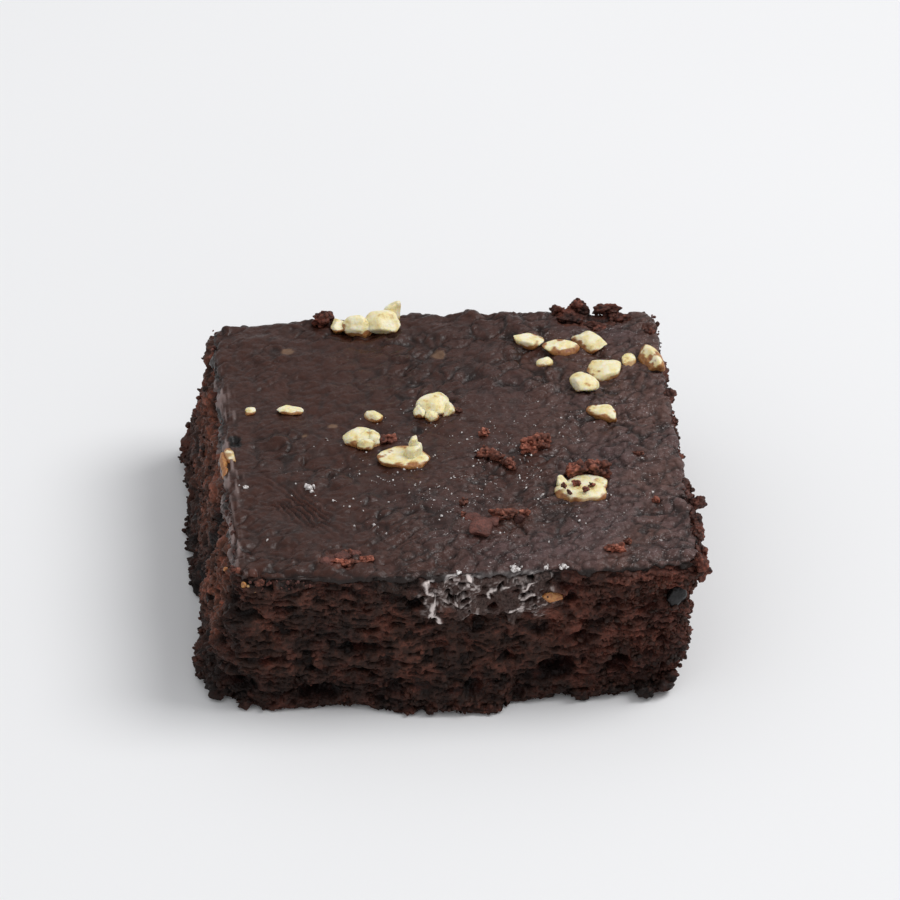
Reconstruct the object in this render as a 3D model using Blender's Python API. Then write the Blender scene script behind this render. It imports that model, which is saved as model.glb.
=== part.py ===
"""A cut square of chocolate brownie with chopped nuts and crumbs baked onto its top, as one solid.

Real size in metres, Z up. The block lies on its flat underside at Z = 0, its front towards -Y. The
origin is on that underside, below the middle of the whole block. The knife leaned as it cut, so the
top sits further right than the base. Places below are measured from the middle of the cut square.
"""

import math

import bmesh
import bpy
import numpy as np
from mathutils import Matrix

MM = 0.001

# Driving dimensions
SIDE = 60 * MM  # the cut square, left to right
DEPTH = 60 * MM  # the cut square, front to back
HEIGHT = 20.5 * MM
ORIGIN = (0.3 * MM, -0.7 * MM)  # below the middle of the whole block, seen from the middle of the square
KNIFE_LEAN = 4.2 * MM  # how far the top lies to the right of the base
TOP_RIM = 1.2 * MM  # radius where the baked skin rolls over into the cut sides
BASE_RIM = 0.8 * MM  # how far the crumb draws in where it meets the table
CORNER = 2.6 * MM  # radius of an ordinary corner, seen from above
BROKEN_CORNER = 8 * MM  # the front left corner, crumbled away towards the base
TOP_CORNER = 3.4 * MM  # the same corner at the top
SIDE_CROWN = 1.0 * MM  # how far the middle of the front and back swell at the top
RIGHT_BELLY = 1.1 * MM  # the right side stays full low down, then tucks in under itself
BELLY_AT = 0.27  # share of the height where that belly is fullest
FRONT_FOOT = 2.3 * MM  # the middle of the front spreads this far at the table
FOOT_FROM = -14 * MM
FOOT_TO = 10 * MM

# Relief of the crumb on the cut sides, and of the baked skin
CRAGS = ((5.5 * MM, 2.6 * MM, 0.75 * MM, 11), (2.9 * MM, 1.5 * MM, 0.42 * MM, 12))
DIMPLES = ((11 * MM, 0.28 * MM, 21), (4.5 * MM, 0.14 * MM, 22))

# Hollows torn in the front: across, up, half width, half height, depth
FRONT_HOLLOWS = (
    (13.9 * MM, 4.9 * MM, 2.6 * MM, 1.9 * MM, 2.4 * MM),
    (21.0 * MM, 6.6 * MM, 2.4 * MM, 1.3 * MM, 1.9 * MM),
    (-11.7 * MM, 9.6 * MM, 3.6 * MM, 1.0 * MM, 1.3 * MM),
    (28.4 * MM, 15.6 * MM, 1.5 * MM, 1.6 * MM, 1.6 * MM),
    (-4.6 * MM, 15.4 * MM, 1.0 * MM, 1.1 * MM, 1.2 * MM),
    (2.5 * MM, 3.2 * MM, 3.4 * MM, 1.1 * MM, 1.2 * MM),
)

# Grid of the block: cells along a side, and up the height
CELLS_ALONG = 36
CELLS_UP = 12

# Chopped nuts on the top: across, deep, length, width, thickness, heading in degrees, share sunk in
NUTS = (
    (-10.7 * MM, 27.9 * MM, 3.0 * MM, 3.0 * MM, 1.8 * MM, 10, 0.35),
    (-8.3 * MM, 27.7 * MM, 3.2 * MM, 3.8 * MM, 3.0 * MM, 60, 0.3),
    (-5.3 * MM, 28.2 * MM, 4.6 * MM, 4.0 * MM, 3.3 * MM, 20, 0.3),
    (-3.6 * MM, 29.4 * MM, 2.4 * MM, 1.9 * MM, 3.9 * MM, 0, 0.25),
    (0.3 * MM, 7.1 * MM, 5.3 * MM, 4.9 * MM, 2.3 * MM, 15, 0.35),
    (-9.5 * MM, 0.4 * MM, 4.6 * MM, 4.1 * MM, 2.1 * MM, -25, 0.35),
    (-4.3 * MM, -4.6 * MM, 6.9 * MM, 4.4 * MM, 1.5 * MM, -2, 0.4),
    (-3.1 * MM, -3.9 * MM, 2.9 * MM, 2.0 * MM, 3.3 * MM, 30, 0.35),
    (-7.6 * MM, 5.7 * MM, 2.1 * MM, 2.6 * MM, 1.3 * MM, 40, 0.4),
    (-18.6 * MM, 7.9 * MM, 3.6 * MM, 1.7 * MM, 1.0 * MM, -12, 0.55),
    (14.3 * MM, 22.5 * MM, 4.7 * MM, 2.4 * MM, 1.7 * MM, -24, 0.4),
    (18.5 * MM, 20.4 * MM, 5.0 * MM, 2.3 * MM, 1.8 * MM, -4, 0.4),
    (22.5 * MM, 21.8 * MM, 5.6 * MM, 3.1 * MM, 1.8 * MM, -52, 0.4),
    (23.9 * MM, 15.2 * MM, 4.6 * MM, 4.2 * MM, 1.6 * MM, 55, 0.45),
    (20.9 * MM, 11.9 * MM, 3.8 * MM, 3.3 * MM, 1.8 * MM, -10, 0.4),
    (16.1 * MM, 17.1 * MM, 2.2 * MM, 1.9 * MM, 1.2 * MM, -20, 0.4),
    (27.3 * MM, 16.6 * MM, 3.7 * MM, 2.0 * MM, 1.3 * MM, 80, 0.45),
    (30.2 * MM, 16.9 * MM, 6.4 * MM, 2.9 * MM, 2.9 * MM, -72, 0.35),
    (22.7 * MM, 4.5 * MM, 4.5 * MM, 2.3 * MM, 1.7 * MM, -34, 0.4),
    (18.2 * MM, -13.2 * MM, 6.5 * MM, 4.4 * MM, 1.7 * MM, 2, 0.35),
)

# Clumps of loose crumb on the top, and the larger ones on the cut sides: across, deep, up, size
CLUMPS = (
    (13.2 * MM, -2.8 * MM, 20.7 * MM, 3.4 * MM),
    (7.2 * MM, -4.6 * MM, 20.6 * MM, 2.2 * MM),
    (8.8 * MM, -7.0 * MM, 20.6 * MM, 2.4 * MM),
    (17.9 * MM, -9.8 * MM, 20.7 * MM, 2.8 * MM),
    (20.4 * MM, -9.6 * MM, 20.8 * MM, 2.8 * MM),
    (4.4 * MM, -22.0 * MM, 20.5 * MM, 2.8 * MM),
    (6.4 * MM, -20.2 * MM, 20.5 * MM, 3.2 * MM),
    (8.6 * MM, -19.0 * MM, 20.5 * MM, 2.6 * MM),
    (-6.3 * MM, -0.2 * MM, 20.6 * MM, 1.8 * MM),
    (-14.4 * MM, -26.6 * MM, 20.4 * MM, 3.0 * MM),
    (21.3 * MM, -27.6 * MM, 20.5 * MM, 2.2 * MM),
    (-13.0 * MM, 29.6 * MM, 20.5 * MM, 2.6 * MM),
    (19.6 * MM, 30.2 * MM, 20.6 * MM, 2.6 * MM),
    (24.6 * MM, 29.6 * MM, 20.6 * MM, 2.8 * MM),
    (28.4 * MM, 27.6 * MM, 20.6 * MM, 2.8 * MM),
    (32.2 * MM, -18.4 * MM, 19.4 * MM, 3.2 * MM),
    (31.6 * MM, -28.4 * MM, 17.2 * MM, 3.0 * MM),
    (28.0 * MM, -30.0 * MM, 3.0 * MM, 3.0 * MM),
    (-29.0 * MM, 28.2 * MM, 13.2 * MM, 2.8 * MM),
    (-31.0 * MM, 28.2 * MM, 1.9 * MM, 3.4 * MM),
    (-31.2 * MM, 9.0 * MM, 1.6 * MM, 3.2 * MM),
    (-31.2 * MM, 3.2 * MM, 1.6 * MM, 3.0 * MM),
)
FACETS = 10  # flat faces that a broken nut or clump is cut by
FACET_REACH = (0.6, 0.9)  # nearest and furthest of those faces, as shares of the ball's radius
CLUMP_SHAPE = (1.0, 0.85, 0.7)  # width and height of a clump as shares of its length
CLUMP_TURN = 40  # degrees from one clump's heading to the next one's
NUT_SEED = 100
CLUMP_SEED = 200

CRUMB_BROWN = (0.040, 0.018, 0.012, 1.0)
CRUMB_ROUGHNESS = 0.65
SHARP_ANGLE = 40  # degrees, above which an edge isn't shaded smooth

# Whole numbers that turn a lattice point and a seed into a repeatable random value
LATTICE_KEYS = np.array([73856093, 19349663, 83492791])
SEED_KEY = 7919
MIX_KEYS = ((15, 2246822519), (13, 3266489917))
WORD = 0xFFFFFFFF
HALF_WORD = 0xFFFF
TINY = 1e-9


def clear_scene():
    for obj in list(bpy.data.objects):
        bpy.data.objects.remove(obj, do_unlink=True)


def lattice_noise(points, seed):
    """Smooth values from -1 to 1: a random number at each whole lattice point, blended in between."""
    cell = np.floor(points).astype(np.int64)
    share = points - cell
    share = share**3 * (share * (share * 6 - 15) + 10)
    total = np.zeros(len(points))
    for corner in np.ndindex(2, 2, 2):
        key = (cell + corner) @ LATTICE_KEYS + seed * SEED_KEY
        for shift, factor in MIX_KEYS:
            key = ((key ^ (key >> shift)) * factor) & WORD
        value = 2 * ((key ^ (key >> 16)) & HALF_WORD) / HALF_WORD - 1
        total += value * np.prod(np.where(corner, share, 1 - share), axis=1)
    return total


def bump(distance):
    """1 at no distance, falling smoothly to 0 at distance 1."""
    return np.clip(1 - distance**2, 0, 1) ** 2


def smooth_step(low, high, value):
    share = np.clip((value - low) / (high - low), 0, 1)
    return share * share * (3 - 2 * share)


def rounded_plan(across, deep, rise):
    """The square seen from above with its corners rounded, and the outward direction at each point.

    The front left corner is worn away further towards the base."""
    worn = BROKEN_CORNER + (TOP_CORNER - BROKEN_CORNER) * rise
    radius = np.where((across < 0) & (deep < 0), worn, CORNER)
    half = np.array([SIDE / 2, DEPTH / 2])
    square = np.stack([across, deep], axis=1) * half
    signs = np.sign(square)
    inner = half - radius[:, None]
    past = np.abs(square) - inner
    in_corner = (past > 0).all(axis=1)[:, None]
    reach = np.maximum(np.hypot(*past.T), TINY)[:, None]
    turned = signs * (inner + past * past.max(axis=1)[:, None] / reach)
    sideways = (np.abs(across) >= np.abs(deep))[:, None]
    straight = signs * np.where(sideways, (1, 0), (0, 1))
    return np.where(in_corner, turned, square), np.where(in_corner, signs * past / reach, straight)


def shaped_block(cube):
    """Carries points of the grid (-1 to 1 across and deep, 0 to 1 up) onto the smooth block.

    Returns the points, the outward direction in plan, and how far each point belongs to a cut side."""
    across, deep, rise = cube.T
    plan, outward = rounded_plan(across, deep, rise)
    x, y = plan.T
    fall = 1 - rise
    z = rise * HEIGHT

    # Swell of the front and back, the spread foot of the front, the belly of the right side
    crown = SIDE_CROWN * np.clip(1 - (2 * x / SIDE) ** 2, 0, 1)
    foot = smooth_step(FOOT_FROM, 0, x) * (1 - smooth_step(FOOT_TO - 2 * MM, FOOT_TO, x))
    front = np.clip(-deep, 0, 1) ** 2 * (crown + FRONT_FOOT * foot * fall**2)
    back = np.clip(deep, 0, 1) ** 2 * crown
    belly = np.sin(math.pi * fall ** (math.log(0.5) / math.log(1 - BELLY_AT)))
    x = x + KNIFE_LEAN * (rise - 0.5) + np.clip(across, 0, 1) ** 2 * RIGHT_BELLY * belly
    y = y + back - front

    # The skin rolls over a quarter circle into the sides, and the sides draw in at the table
    inset = (1 - np.abs(cube[:, :2]).max(axis=1)) * SIDE / 2
    way = TOP_RIM - np.stack([inset, HEIGHT - z], axis=1)
    rolled = (way > 0).all(axis=1)
    reach = np.maximum(np.hypot(*way.T), TINY)
    pull = np.where(rolled, 1 - TOP_RIM / reach, 0)
    side_share = np.where(rolled, (way[:, 0] / reach) ** 2, inset < TOP_RIM)
    tuck = BASE_RIM - np.sqrt(np.clip(BASE_RIM**2 - np.clip(BASE_RIM - z, 0, None) ** 2, 0, None))
    inward = pull * way[:, 0] + np.where(inset < TINY, tuck, 0)
    plan = np.stack([x, y], axis=1) - outward * inward[:, None]
    return np.column_stack([plan, z - pull * way[:, 1]]), outward, side_share


def crag_height(points):
    """How far the torn crumb stands out from a cut side: flat lumps, wider than they are tall."""
    height = np.zeros(len(points))
    for width, tall, size, seed in CRAGS:
        height += size * lattice_noise(points / (width, width, tall), seed)
    return height


def hollow_depth(points, outward):
    """The depth of the hollows torn in the front."""
    depth = np.zeros(len(points))
    facing = np.clip(-outward[:, 1], 0, 1)
    for x, z, half_wide, half_tall, deep in FRONT_HOLLOWS:
        away = np.hypot((points[:, 0] - x) / half_wide, (points[:, 2] - z) / half_tall)
        depth += deep * bump(away) * facing
    return depth


def dimple_height(points):
    """The shallow rise and fall of the baked skin."""
    height = np.zeros(len(points))
    for width, size, seed in DIMPLES:
        height += size * lattice_noise(points / width, seed)
    return height


def cube_grid():
    """A level grid, -1 to 1 each way, whose rim is drawn down from 1 to 0, and one flat face below."""
    grid = bmesh.new()
    raised = Matrix.Translation((0, 0, 1))
    bmesh.ops.create_grid(grid, x_segments=CELLS_ALONG, y_segments=CELLS_ALONG, size=1, matrix=raised)
    for _ in range(CELLS_UP):
        rim = [edge for edge in grid.edges if edge.is_boundary]
        drawn = bmesh.ops.extrude_edge_only(grid, edges=rim)["geom"]
        lower = [item for item in drawn if isinstance(item, bmesh.types.BMVert)]
        bmesh.ops.translate(grid, verts=lower, vec=(0, 0, -1 / CELLS_UP))
    rim = [edge for edge in grid.edges if edge.is_boundary]
    bmesh.ops.holes_fill(grid, edges=rim, sides=len(rim))
    bmesh.ops.recalc_face_normals(grid, faces=grid.faces)
    mesh = bpy.data.meshes.new("brownie")
    grid.to_mesh(mesh)
    grid.free()
    return mesh


def read_points(mesh):
    points = np.empty(len(mesh.vertices) * 3)
    mesh.vertices.foreach_get("co", points)
    return points.reshape(-1, 3)


def block_mesh():
    """The grid carried onto the block, with crags and hollows on its sides and dimples on top."""
    mesh = cube_grid()
    points, outward, side_share = shaped_block(read_points(mesh))
    relief = side_share * (crag_height(points) - hollow_depth(points, outward))
    dimples = (1 - side_share) * dimple_height(points)
    on_top = points[:, 2] > HEIGHT / 2
    points[:, :2] += outward * relief[:, None]
    points[:, 2] += np.where(on_top, dimples, 0)
    mesh.vertices.foreach_set("co", points.ravel())
    mesh.update()
    return mesh


def broken_lump(name, centre, sizes, heading, seed):
    """A ball cut by random flat faces, as a chopped nut or a clump breaks, then brought to its sizes."""
    chance = np.random.default_rng(seed)
    faces = chance.normal(size=(FACETS, 3))
    faces /= np.linalg.norm(faces, axis=1)[:, None]
    away = chance.uniform(*FACET_REACH, FACETS)
    mesh = bpy.data.meshes.new(name)
    ball = bmesh.new()
    bmesh.ops.create_icosphere(ball, subdivisions=2, radius=1)
    ball.to_mesh(mesh)
    ball.free()
    way = read_points(mesh)
    facing = np.maximum(way @ faces.T, TINY)
    shape = way * np.minimum((away / facing).min(axis=1), 1)[:, None]
    low, high = shape.min(axis=0), shape.max(axis=0)
    shape = (shape - (low + high) / 2) / (high - low) * sizes
    mesh.vertices.foreach_set("co", shape.ravel())
    mesh.update()
    lump = bpy.data.objects.new(name, mesh)
    lump.location = centre
    lump.rotation_euler = (0, 0, math.radians(heading))
    return lump


def make_toppings():
    """The nuts, each sunk in the skin by its share, and the clumps of crumb, in one collection."""
    toppings = bpy.data.collections.new("toppings")
    bpy.context.scene.collection.children.link(toppings)
    for index, (x, y, length, width, thick, heading, sunk) in enumerate(NUTS):
        centre = (x, y, HEIGHT + thick * (0.5 - sunk))
        sizes = np.array([length, width, thick])
        toppings.objects.link(broken_lump(f"nut_{index}", centre, sizes, heading, NUT_SEED + index))
    for index, (x, y, z, size) in enumerate(CLUMPS):
        sizes = size * np.array(CLUMP_SHAPE)
        heading = CLUMP_TURN * index
        toppings.objects.link(broken_lump(f"clump_{index}", (x, y, z), sizes, heading, CLUMP_SEED + index))
    return toppings


def fuse_toppings(brownie, toppings):
    """Joins the toppings to the block by one Boolean union, then removes their own objects."""
    union = brownie.modifiers.new("toppings", "BOOLEAN")
    union.operation = "UNION"
    union.operand_type = "COLLECTION"
    union.collection = toppings
    union.solver = "EXACT"
    with bpy.context.temp_override(object=brownie, active_object=brownie, selected_objects=[brownie]):
        bpy.ops.object.modifier_apply(modifier=union.name)
    for lump in list(toppings.objects):
        bpy.data.objects.remove(lump, do_unlink=True)
    bpy.data.collections.remove(toppings)


def crumb_material():
    material = bpy.data.materials.new("brownie")
    material.use_nodes = True
    shader = material.node_tree.nodes["Principled BSDF"]
    shader.inputs["Base Color"].default_value = CRUMB_BROWN
    shader.inputs["Roughness"].default_value = CRUMB_ROUGHNESS
    shader.inputs["Metallic"].default_value = 0.0
    return material


def main():
    clear_scene()
    brownie = bpy.data.objects.new("brownie", block_mesh())
    brownie.data.materials.append(crumb_material())
    bpy.context.scene.collection.objects.link(brownie)
    toppings = make_toppings()
    bpy.context.view_layer.update()
    fuse_toppings(brownie, toppings)
    brownie.data.transform(Matrix.Translation((-ORIGIN[0], -ORIGIN[1], 0)))
    brownie.data.shade_smooth()
    brownie.data.set_sharp_from_angle(angle=math.radians(SHARP_ANGLE))


main()
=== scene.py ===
import math

import bpy
import numpy as np
from mathutils import Matrix, Vector


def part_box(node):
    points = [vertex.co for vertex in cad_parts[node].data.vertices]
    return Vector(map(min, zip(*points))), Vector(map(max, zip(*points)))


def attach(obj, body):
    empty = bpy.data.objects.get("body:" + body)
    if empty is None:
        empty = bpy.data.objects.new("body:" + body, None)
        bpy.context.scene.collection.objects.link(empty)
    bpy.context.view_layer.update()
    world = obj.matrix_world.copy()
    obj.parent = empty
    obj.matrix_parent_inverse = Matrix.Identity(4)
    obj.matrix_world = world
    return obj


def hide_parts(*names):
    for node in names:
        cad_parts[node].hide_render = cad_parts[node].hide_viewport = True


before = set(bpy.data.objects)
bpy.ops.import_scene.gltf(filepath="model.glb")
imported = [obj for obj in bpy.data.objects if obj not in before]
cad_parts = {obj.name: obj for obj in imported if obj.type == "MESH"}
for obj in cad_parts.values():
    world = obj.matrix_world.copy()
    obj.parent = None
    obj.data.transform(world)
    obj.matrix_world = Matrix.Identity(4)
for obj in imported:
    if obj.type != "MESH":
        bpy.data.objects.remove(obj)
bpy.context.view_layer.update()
mm = 0.001
tiny = 1e-9

# The cut square in millimetres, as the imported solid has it. Places are measured from its middle.
cut = {
    "side": 60.0,
    "depth": 60.0,
    "height": 20.5,
    "lean": 4.2,  # how far the top lies to the right of the base
    "topRim": 1.2,  # radius of the rounding along the top's edge
    "baseRim": 0.8,
    "corner": 2.6,  # radius of the upright corners
    "brokenCorner": 8.0,  # the front left corner at the base
    "topCorner": 3.4,  # the same corner at the top
    "crown": 1.0,  # how far the front and back swell in the middle
    "belly": 1.1,  # how far the right side swells, and at which share of the height
    "bellyAt": 0.27,
    "foot": 2.3,  # how far the front's foot spreads, and between which x
    "footFrom": -14.0,
    "footTo": 10.0,
    "footRamp": 2.0,
    "origin": (0.3, -0.7),  # where the frame's origin lies
}
shift = np.array([-cut["origin"][0], -cut["origin"][1], 0.0])

# Whole numbers that turn a lattice point and a seed into a repeatable random value
noiseKeys = {
    "lattice": np.array([73856093, 19349663, 83492791]),
    "seed": 7919,
    "mixes": ((15, 2246822519), (13, 3266489917)),
    "word": 0xFFFFFFFF,
    "halfWord": 0xFFFF,
}


def latticeRandom(cell, seed):
    # a repeatable random number, 0 to 1, for each whole lattice point
    key = cell @ noiseKeys["lattice"] + seed * noiseKeys["seed"]
    for mix, factor in noiseKeys["mixes"]:
        key = ((key ^ (key >> mix)) * factor) & noiseKeys["word"]
    return ((key ^ (key >> 16)) & noiseKeys["halfWord"]) / noiseKeys["halfWord"]


def latticeNoise(points, seed):
    # -1 to 1: random numbers at the whole lattice points, blended in between by a quintic step
    cell = np.floor(points).astype(np.int64)
    share = points - cell
    share = share**3 * (share * (share * 6 - 15) + 10)
    total = np.zeros(len(points))
    for corner in np.ndindex(2, 2, 2):
        value = 2 * latticeRandom(cell + corner, seed) - 1
        total += value * np.prod(np.where(corner, share, 1 - share), axis=1)
    return total


def layeredNoise(points, seed, layers=3, fade=0.5):
    # a sum of lattice noises, each twice as fine and fade times as strong as the one before
    total = np.zeros(len(points))
    for layer in range(layers):
        total += fade**layer * latticeNoise(points * 2.03**layer + 7.3 * layer, seed + 31 * layer)
    return total


def cellDistance(points, seed):
    # the distance to the nearest and second nearest of seeds strewn one to a lattice cell, and the
    # nearest one's own random number
    cell = np.floor(points).astype(np.int64)
    nearest = np.full(len(points), 9.0)
    second = nearest.copy()
    own = np.zeros(len(points))
    for step in np.ndindex(3, 3, 3):
        there = cell + np.array(step) - 1
        spot = there + np.stack([latticeRandom(there, seed + 101 * axis) for axis in (1, 2, 3)], axis=1)
        away = np.linalg.norm(points - spot, axis=1)
        closer = away < nearest
        second = np.where(closer, nearest, np.minimum(second, away))
        own = np.where(closer, latticeRandom(there, seed + 404), own)
        nearest = np.where(closer, away, nearest)
    return nearest, second, own


def bump(distance):
    # 1 at no distance, falling smoothly to 0 at distance 1
    return np.clip(1 - distance**2, 0, 1) ** 2


def smoothStep(low, high, value):
    # 0 up to low, 1 from high on, and a cubic step between them
    share = np.clip((value - low) / (high - low), 0, 1)
    return share * share * (3 - 2 * share)


def distanceToLine(points, start, end):
    # the distance of each point from the straight stretch between start and end
    start = np.array(start)
    along = np.array(end) - start
    share = np.clip((points - start) @ along / (along @ along), 0, 1)
    return np.linalg.norm(points - start - share[:, None] * along, axis=1)


def ovalReach(points, x, z, halfWide, halfTall):
    # how far each point lies from an oval's middle on the front, 1 on the oval itself
    return np.hypot((points[:, 0] - x) / halfWide, (points[:, 2] - z) / halfTall)


def spotShare(points, spots, low, high, ragged=0.0):
    # 1 inside round spots of x, y and radius on the top, 0 beyond, with edges moved by ragged
    share = np.zeros(len(points))
    for x, y, radius in spots:
        away = np.hypot(points[:, 0] - x, points[:, 1] - y) / radius
        share = np.maximum(share, 1 - smoothStep(low, high, away + ragged))
    return share


def roundedPlan(across, deep, rise):
    # the square from above with quarter circle corners, and the outward direction at each point
    worn = cut["brokenCorner"] + (cut["topCorner"] - cut["brokenCorner"]) * rise
    radius = np.where((across < 0) & (deep < 0), worn, cut["corner"])
    half = np.array([cut["side"] / 2, cut["depth"] / 2])
    square = np.stack([across, deep], axis=1) * half
    signs = np.sign(square)
    inner = half - radius[:, None]
    past = np.abs(square) - inner
    inCorner = (past > 0).all(axis=1)[:, None]
    reach = np.maximum(np.hypot(*past.T), tiny)[:, None]
    turned = signs * (inner + past * past.max(axis=1)[:, None] / reach)
    sideways = (np.abs(across) >= np.abs(deep))[:, None]
    straight = signs * np.where(sideways, (1, 0), (0, 1))
    return np.where(inCorner, turned, square), np.where(inCorner, signs * past / reach, straight)


def shapedBlock(across, deep, rise):
    # across and deep run from -1 to 1 over the square and rise from 0 to 1 up it. The plan leans with
    # rise, the front and back swell, the foot spreads and the rims roll over quarter circles.
    plan, outward = roundedPlan(across, deep, rise)
    x, y = plan.T
    fall = 1 - rise
    z = rise * cut["height"]
    crown = cut["crown"] * np.clip(1 - (2 * x / cut["side"]) ** 2, 0, 1)
    footEnd = smoothStep(cut["footTo"] - cut["footRamp"], cut["footTo"], x)
    foot = smoothStep(cut["footFrom"], 0, x) * (1 - footEnd)
    front = np.clip(-deep, 0, 1) ** 2 * (crown + cut["foot"] * foot * fall**2)
    back = np.clip(deep, 0, 1) ** 2 * crown
    belly = np.sin(math.pi * fall ** (math.log(0.5) / math.log(1 - cut["bellyAt"])))
    x = x + cut["lean"] * (rise - 0.5) + np.clip(across, 0, 1) ** 2 * cut["belly"] * belly
    y = y + back - front
    inset = (1 - np.maximum(np.abs(across), np.abs(deep))) * cut["side"] / 2
    way = cut["topRim"] - np.stack([inset, cut["height"] - z], axis=1)
    rolled = (way > 0).all(axis=1)
    reach = np.maximum(np.hypot(*way.T), tiny)
    pull = np.where(rolled, 1 - cut["topRim"] / reach, 0)
    sideShare = np.where(rolled, (way[:, 0] / reach) ** 2, inset < cut["topRim"])
    below = np.clip(cut["baseRim"] - z, 0, None)
    tuck = cut["baseRim"] - np.sqrt(np.clip(cut["baseRim"] ** 2 - below**2, 0, None))
    inward = pull * way[:, 0] + np.where(inset < tiny, tuck, 0)
    plan = np.stack([x, y], axis=1) - outward * inward[:, None]
    return np.column_stack([plan, z - pull * way[:, 1]]), outward, sideShare


def sideOfSquare(side, count):
    # across and deep along one edge of the square, anticlockwise: 0 front, 1 right, 2 back, 3 left
    steps, ends = np.linspace(-1, 1, count), np.ones(count)
    return ((steps, -ends), (ends, steps), (-steps, ends), (-ends, -steps))[side]


def ringFaces(lower, upper):
    # the quads between two rings of point numbers, facing out when the rings run anticlockwise
    return np.stack([lower, np.roll(lower, -1), np.roll(upper, -1), upper], axis=1)


def gridFaces(grid):
    # the quads of a grid of point numbers, facing up when its rows run to the right and follow each
    # other backwards
    return np.stack([grid[:-1, :-1], grid[:-1, 1:], grid[1:, 1:], grid[1:, :-1]], axis=-1).reshape(-1, 4)


def gridRim(grid):
    # the point numbers round a grid's rim, anticlockwise
    return np.concatenate([grid[0, :-1], grid[:-1, -1], grid[-1, :0:-1], grid[:0:-1, 0]])


def squareGrid(cells):
    # across and deep, -1 to 1, at each point of a square grid, and the grid of their numbers
    steps = np.linspace(-1, 1, cells + 1)
    deep, across = [side.ravel() for side in np.meshgrid(steps, steps, indexing="ij")]
    return across, deep, np.arange(len(deep)).reshape(cells + 1, cells + 1)


def newPiece(name, points, faceSets, material, marks):
    # points are in millimetres, faceSets hold rows of point numbers, and marks are values at the first
    # points, with 0 at the rest
    mesh = bpy.data.meshes.new(name)
    mesh.vertices.add(len(points))
    raised = np.maximum(points + shift, (-np.inf, -np.inf, 0.0))
    mesh.vertices.foreach_set("co", (raised * mm).ravel())
    corners = np.concatenate([faces.ravel() for faces in faceSets])
    sizes = np.concatenate([np.full(len(faces), faces.shape[1]) for faces in faceSets])
    mesh.loops.add(len(corners))
    mesh.loops.foreach_set("vertex_index", corners)
    mesh.polygons.add(len(sizes))
    mesh.polygons.foreach_set("loop_start", np.cumsum(sizes) - sizes)
    mesh.update(calc_edges=True)
    for mark, values in marks.items():
        whole = np.concatenate([values, np.zeros(len(points) - len(values))])
        mesh.attributes.new(mark, "FLOAT", "POINT").data.foreach_set("value", whole)
    mesh.shade_smooth()
    mesh.materials.append(material)
    piece = bpy.data.objects.new(name, mesh)
    bpy.context.scene.collection.objects.link(piece)
    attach(piece, "root")
    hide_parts("brownie")
    print(f"{name}: {len(points)} points, {int((sizes - 2).sum())} triangles")


# Materials

def newMaterial(name):
    # a material with its node tree and its shader
    material = bpy.data.materials.new(name)
    material.use_nodes = True
    return material, material.node_tree, material.node_tree.nodes["Principled BSDF"]


def feed(tree, node, inputs):
    # each input, by its name or number, linked to a socket or set to a value
    for key, value in inputs.items():
        if isinstance(value, bpy.types.NodeSocket):
            tree.links.new(value, node.inputs[key])
        else:
            node.inputs[key].default_value = value


def addNode(tree, kind, inputs, **settings):
    # a shader node of a kind, with its settings and inputs
    node = tree.nodes.new("ShaderNode" + kind)
    for key, value in settings.items():
        setattr(node, key, value)
    feed(tree, node, inputs)
    return node


def addRamp(tree, value, *stops):
    # a colour ramp read at value, through the given (place, colour) stops
    ramp = addNode(tree, "ValToRGB", {"Fac": value})
    elements = ramp.color_ramp.elements
    for place, colour in stops[1:-1]:
        elements.new(place)
    for element, (place, colour) in zip(elements, stops):
        element.position = place
        element.color = (*colour, 1)
    return ramp.outputs["Color"]


def addPattern(tree, kind, scale, inputs, **settings):
    # a noise or cell pattern on the piece's own coordinates, scale in patches per millimetre
    place = addNode(tree, "TexCoord", {}).outputs["Object"]
    pattern = addNode(tree, kind, {"Vector": place, "Scale": scale / mm}, **settings)
    feed(tree, pattern, inputs)
    return pattern.outputs[0]


def addNoise(tree, scale, detail, roughness=0.5, distortion=0.0):
    inputs = {"Detail": detail, "Roughness": roughness, "Distortion": distortion}
    return addPattern(tree, "TexNoise", scale, inputs)


def addMix(tree, share, first, second, blend="MIX"):
    # first and second colours, each a socket or three numbers, mixed by a socket or a number
    mix = addNode(tree, "Mix", {0: share}, data_type="RGBA", blend_type=blend)
    for key, value in ((6, first), (7, second)):
        feed(tree, mix, {key: value if isinstance(value, bpy.types.NodeSocket) else (*value, 1)})
    return mix.outputs[2]


def addFactors(tree, colour, *factors):
    # the colour times each factor, faded in by its share
    for share, factor in factors:
        colour = addMix(tree, share, colour, factor, "MULTIPLY")
    return colour


def addRange(tree, value, low, high, toLow, toHigh):
    # value carried from low..high to toLow..toHigh, held at the ends
    inputs = {"Value": value, "From Min": low, "From Max": high, "To Min": toLow, "To Max": toHigh}
    return addNode(tree, "MapRange", inputs).outputs["Result"]


def addProduct(tree, first, second, extra=0.0):
    # first times second, plus extra
    inputs = {0: first, 1: second, 2: extra}
    return addNode(tree, "Math", inputs, operation="MULTIPLY_ADD").outputs["Value"]


def addMark(tree, name):
    # the values that the piece's points carry under this name
    return addNode(tree, "Attribute", {}, attribute_name=name).outputs["Fac"]


def addBump(tree, *layers, strength=1.0):
    # bumps one upon the other, each a height socket and its depth in millimetres
    inputs = {"Strength": strength}
    for height, depth in layers:
        node = addNode(tree, "Bump", {**inputs, "Height": height, "Distance": depth * mm})
        inputs["Normal"] = node.outputs["Normal"]
    return inputs["Normal"]


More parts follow.
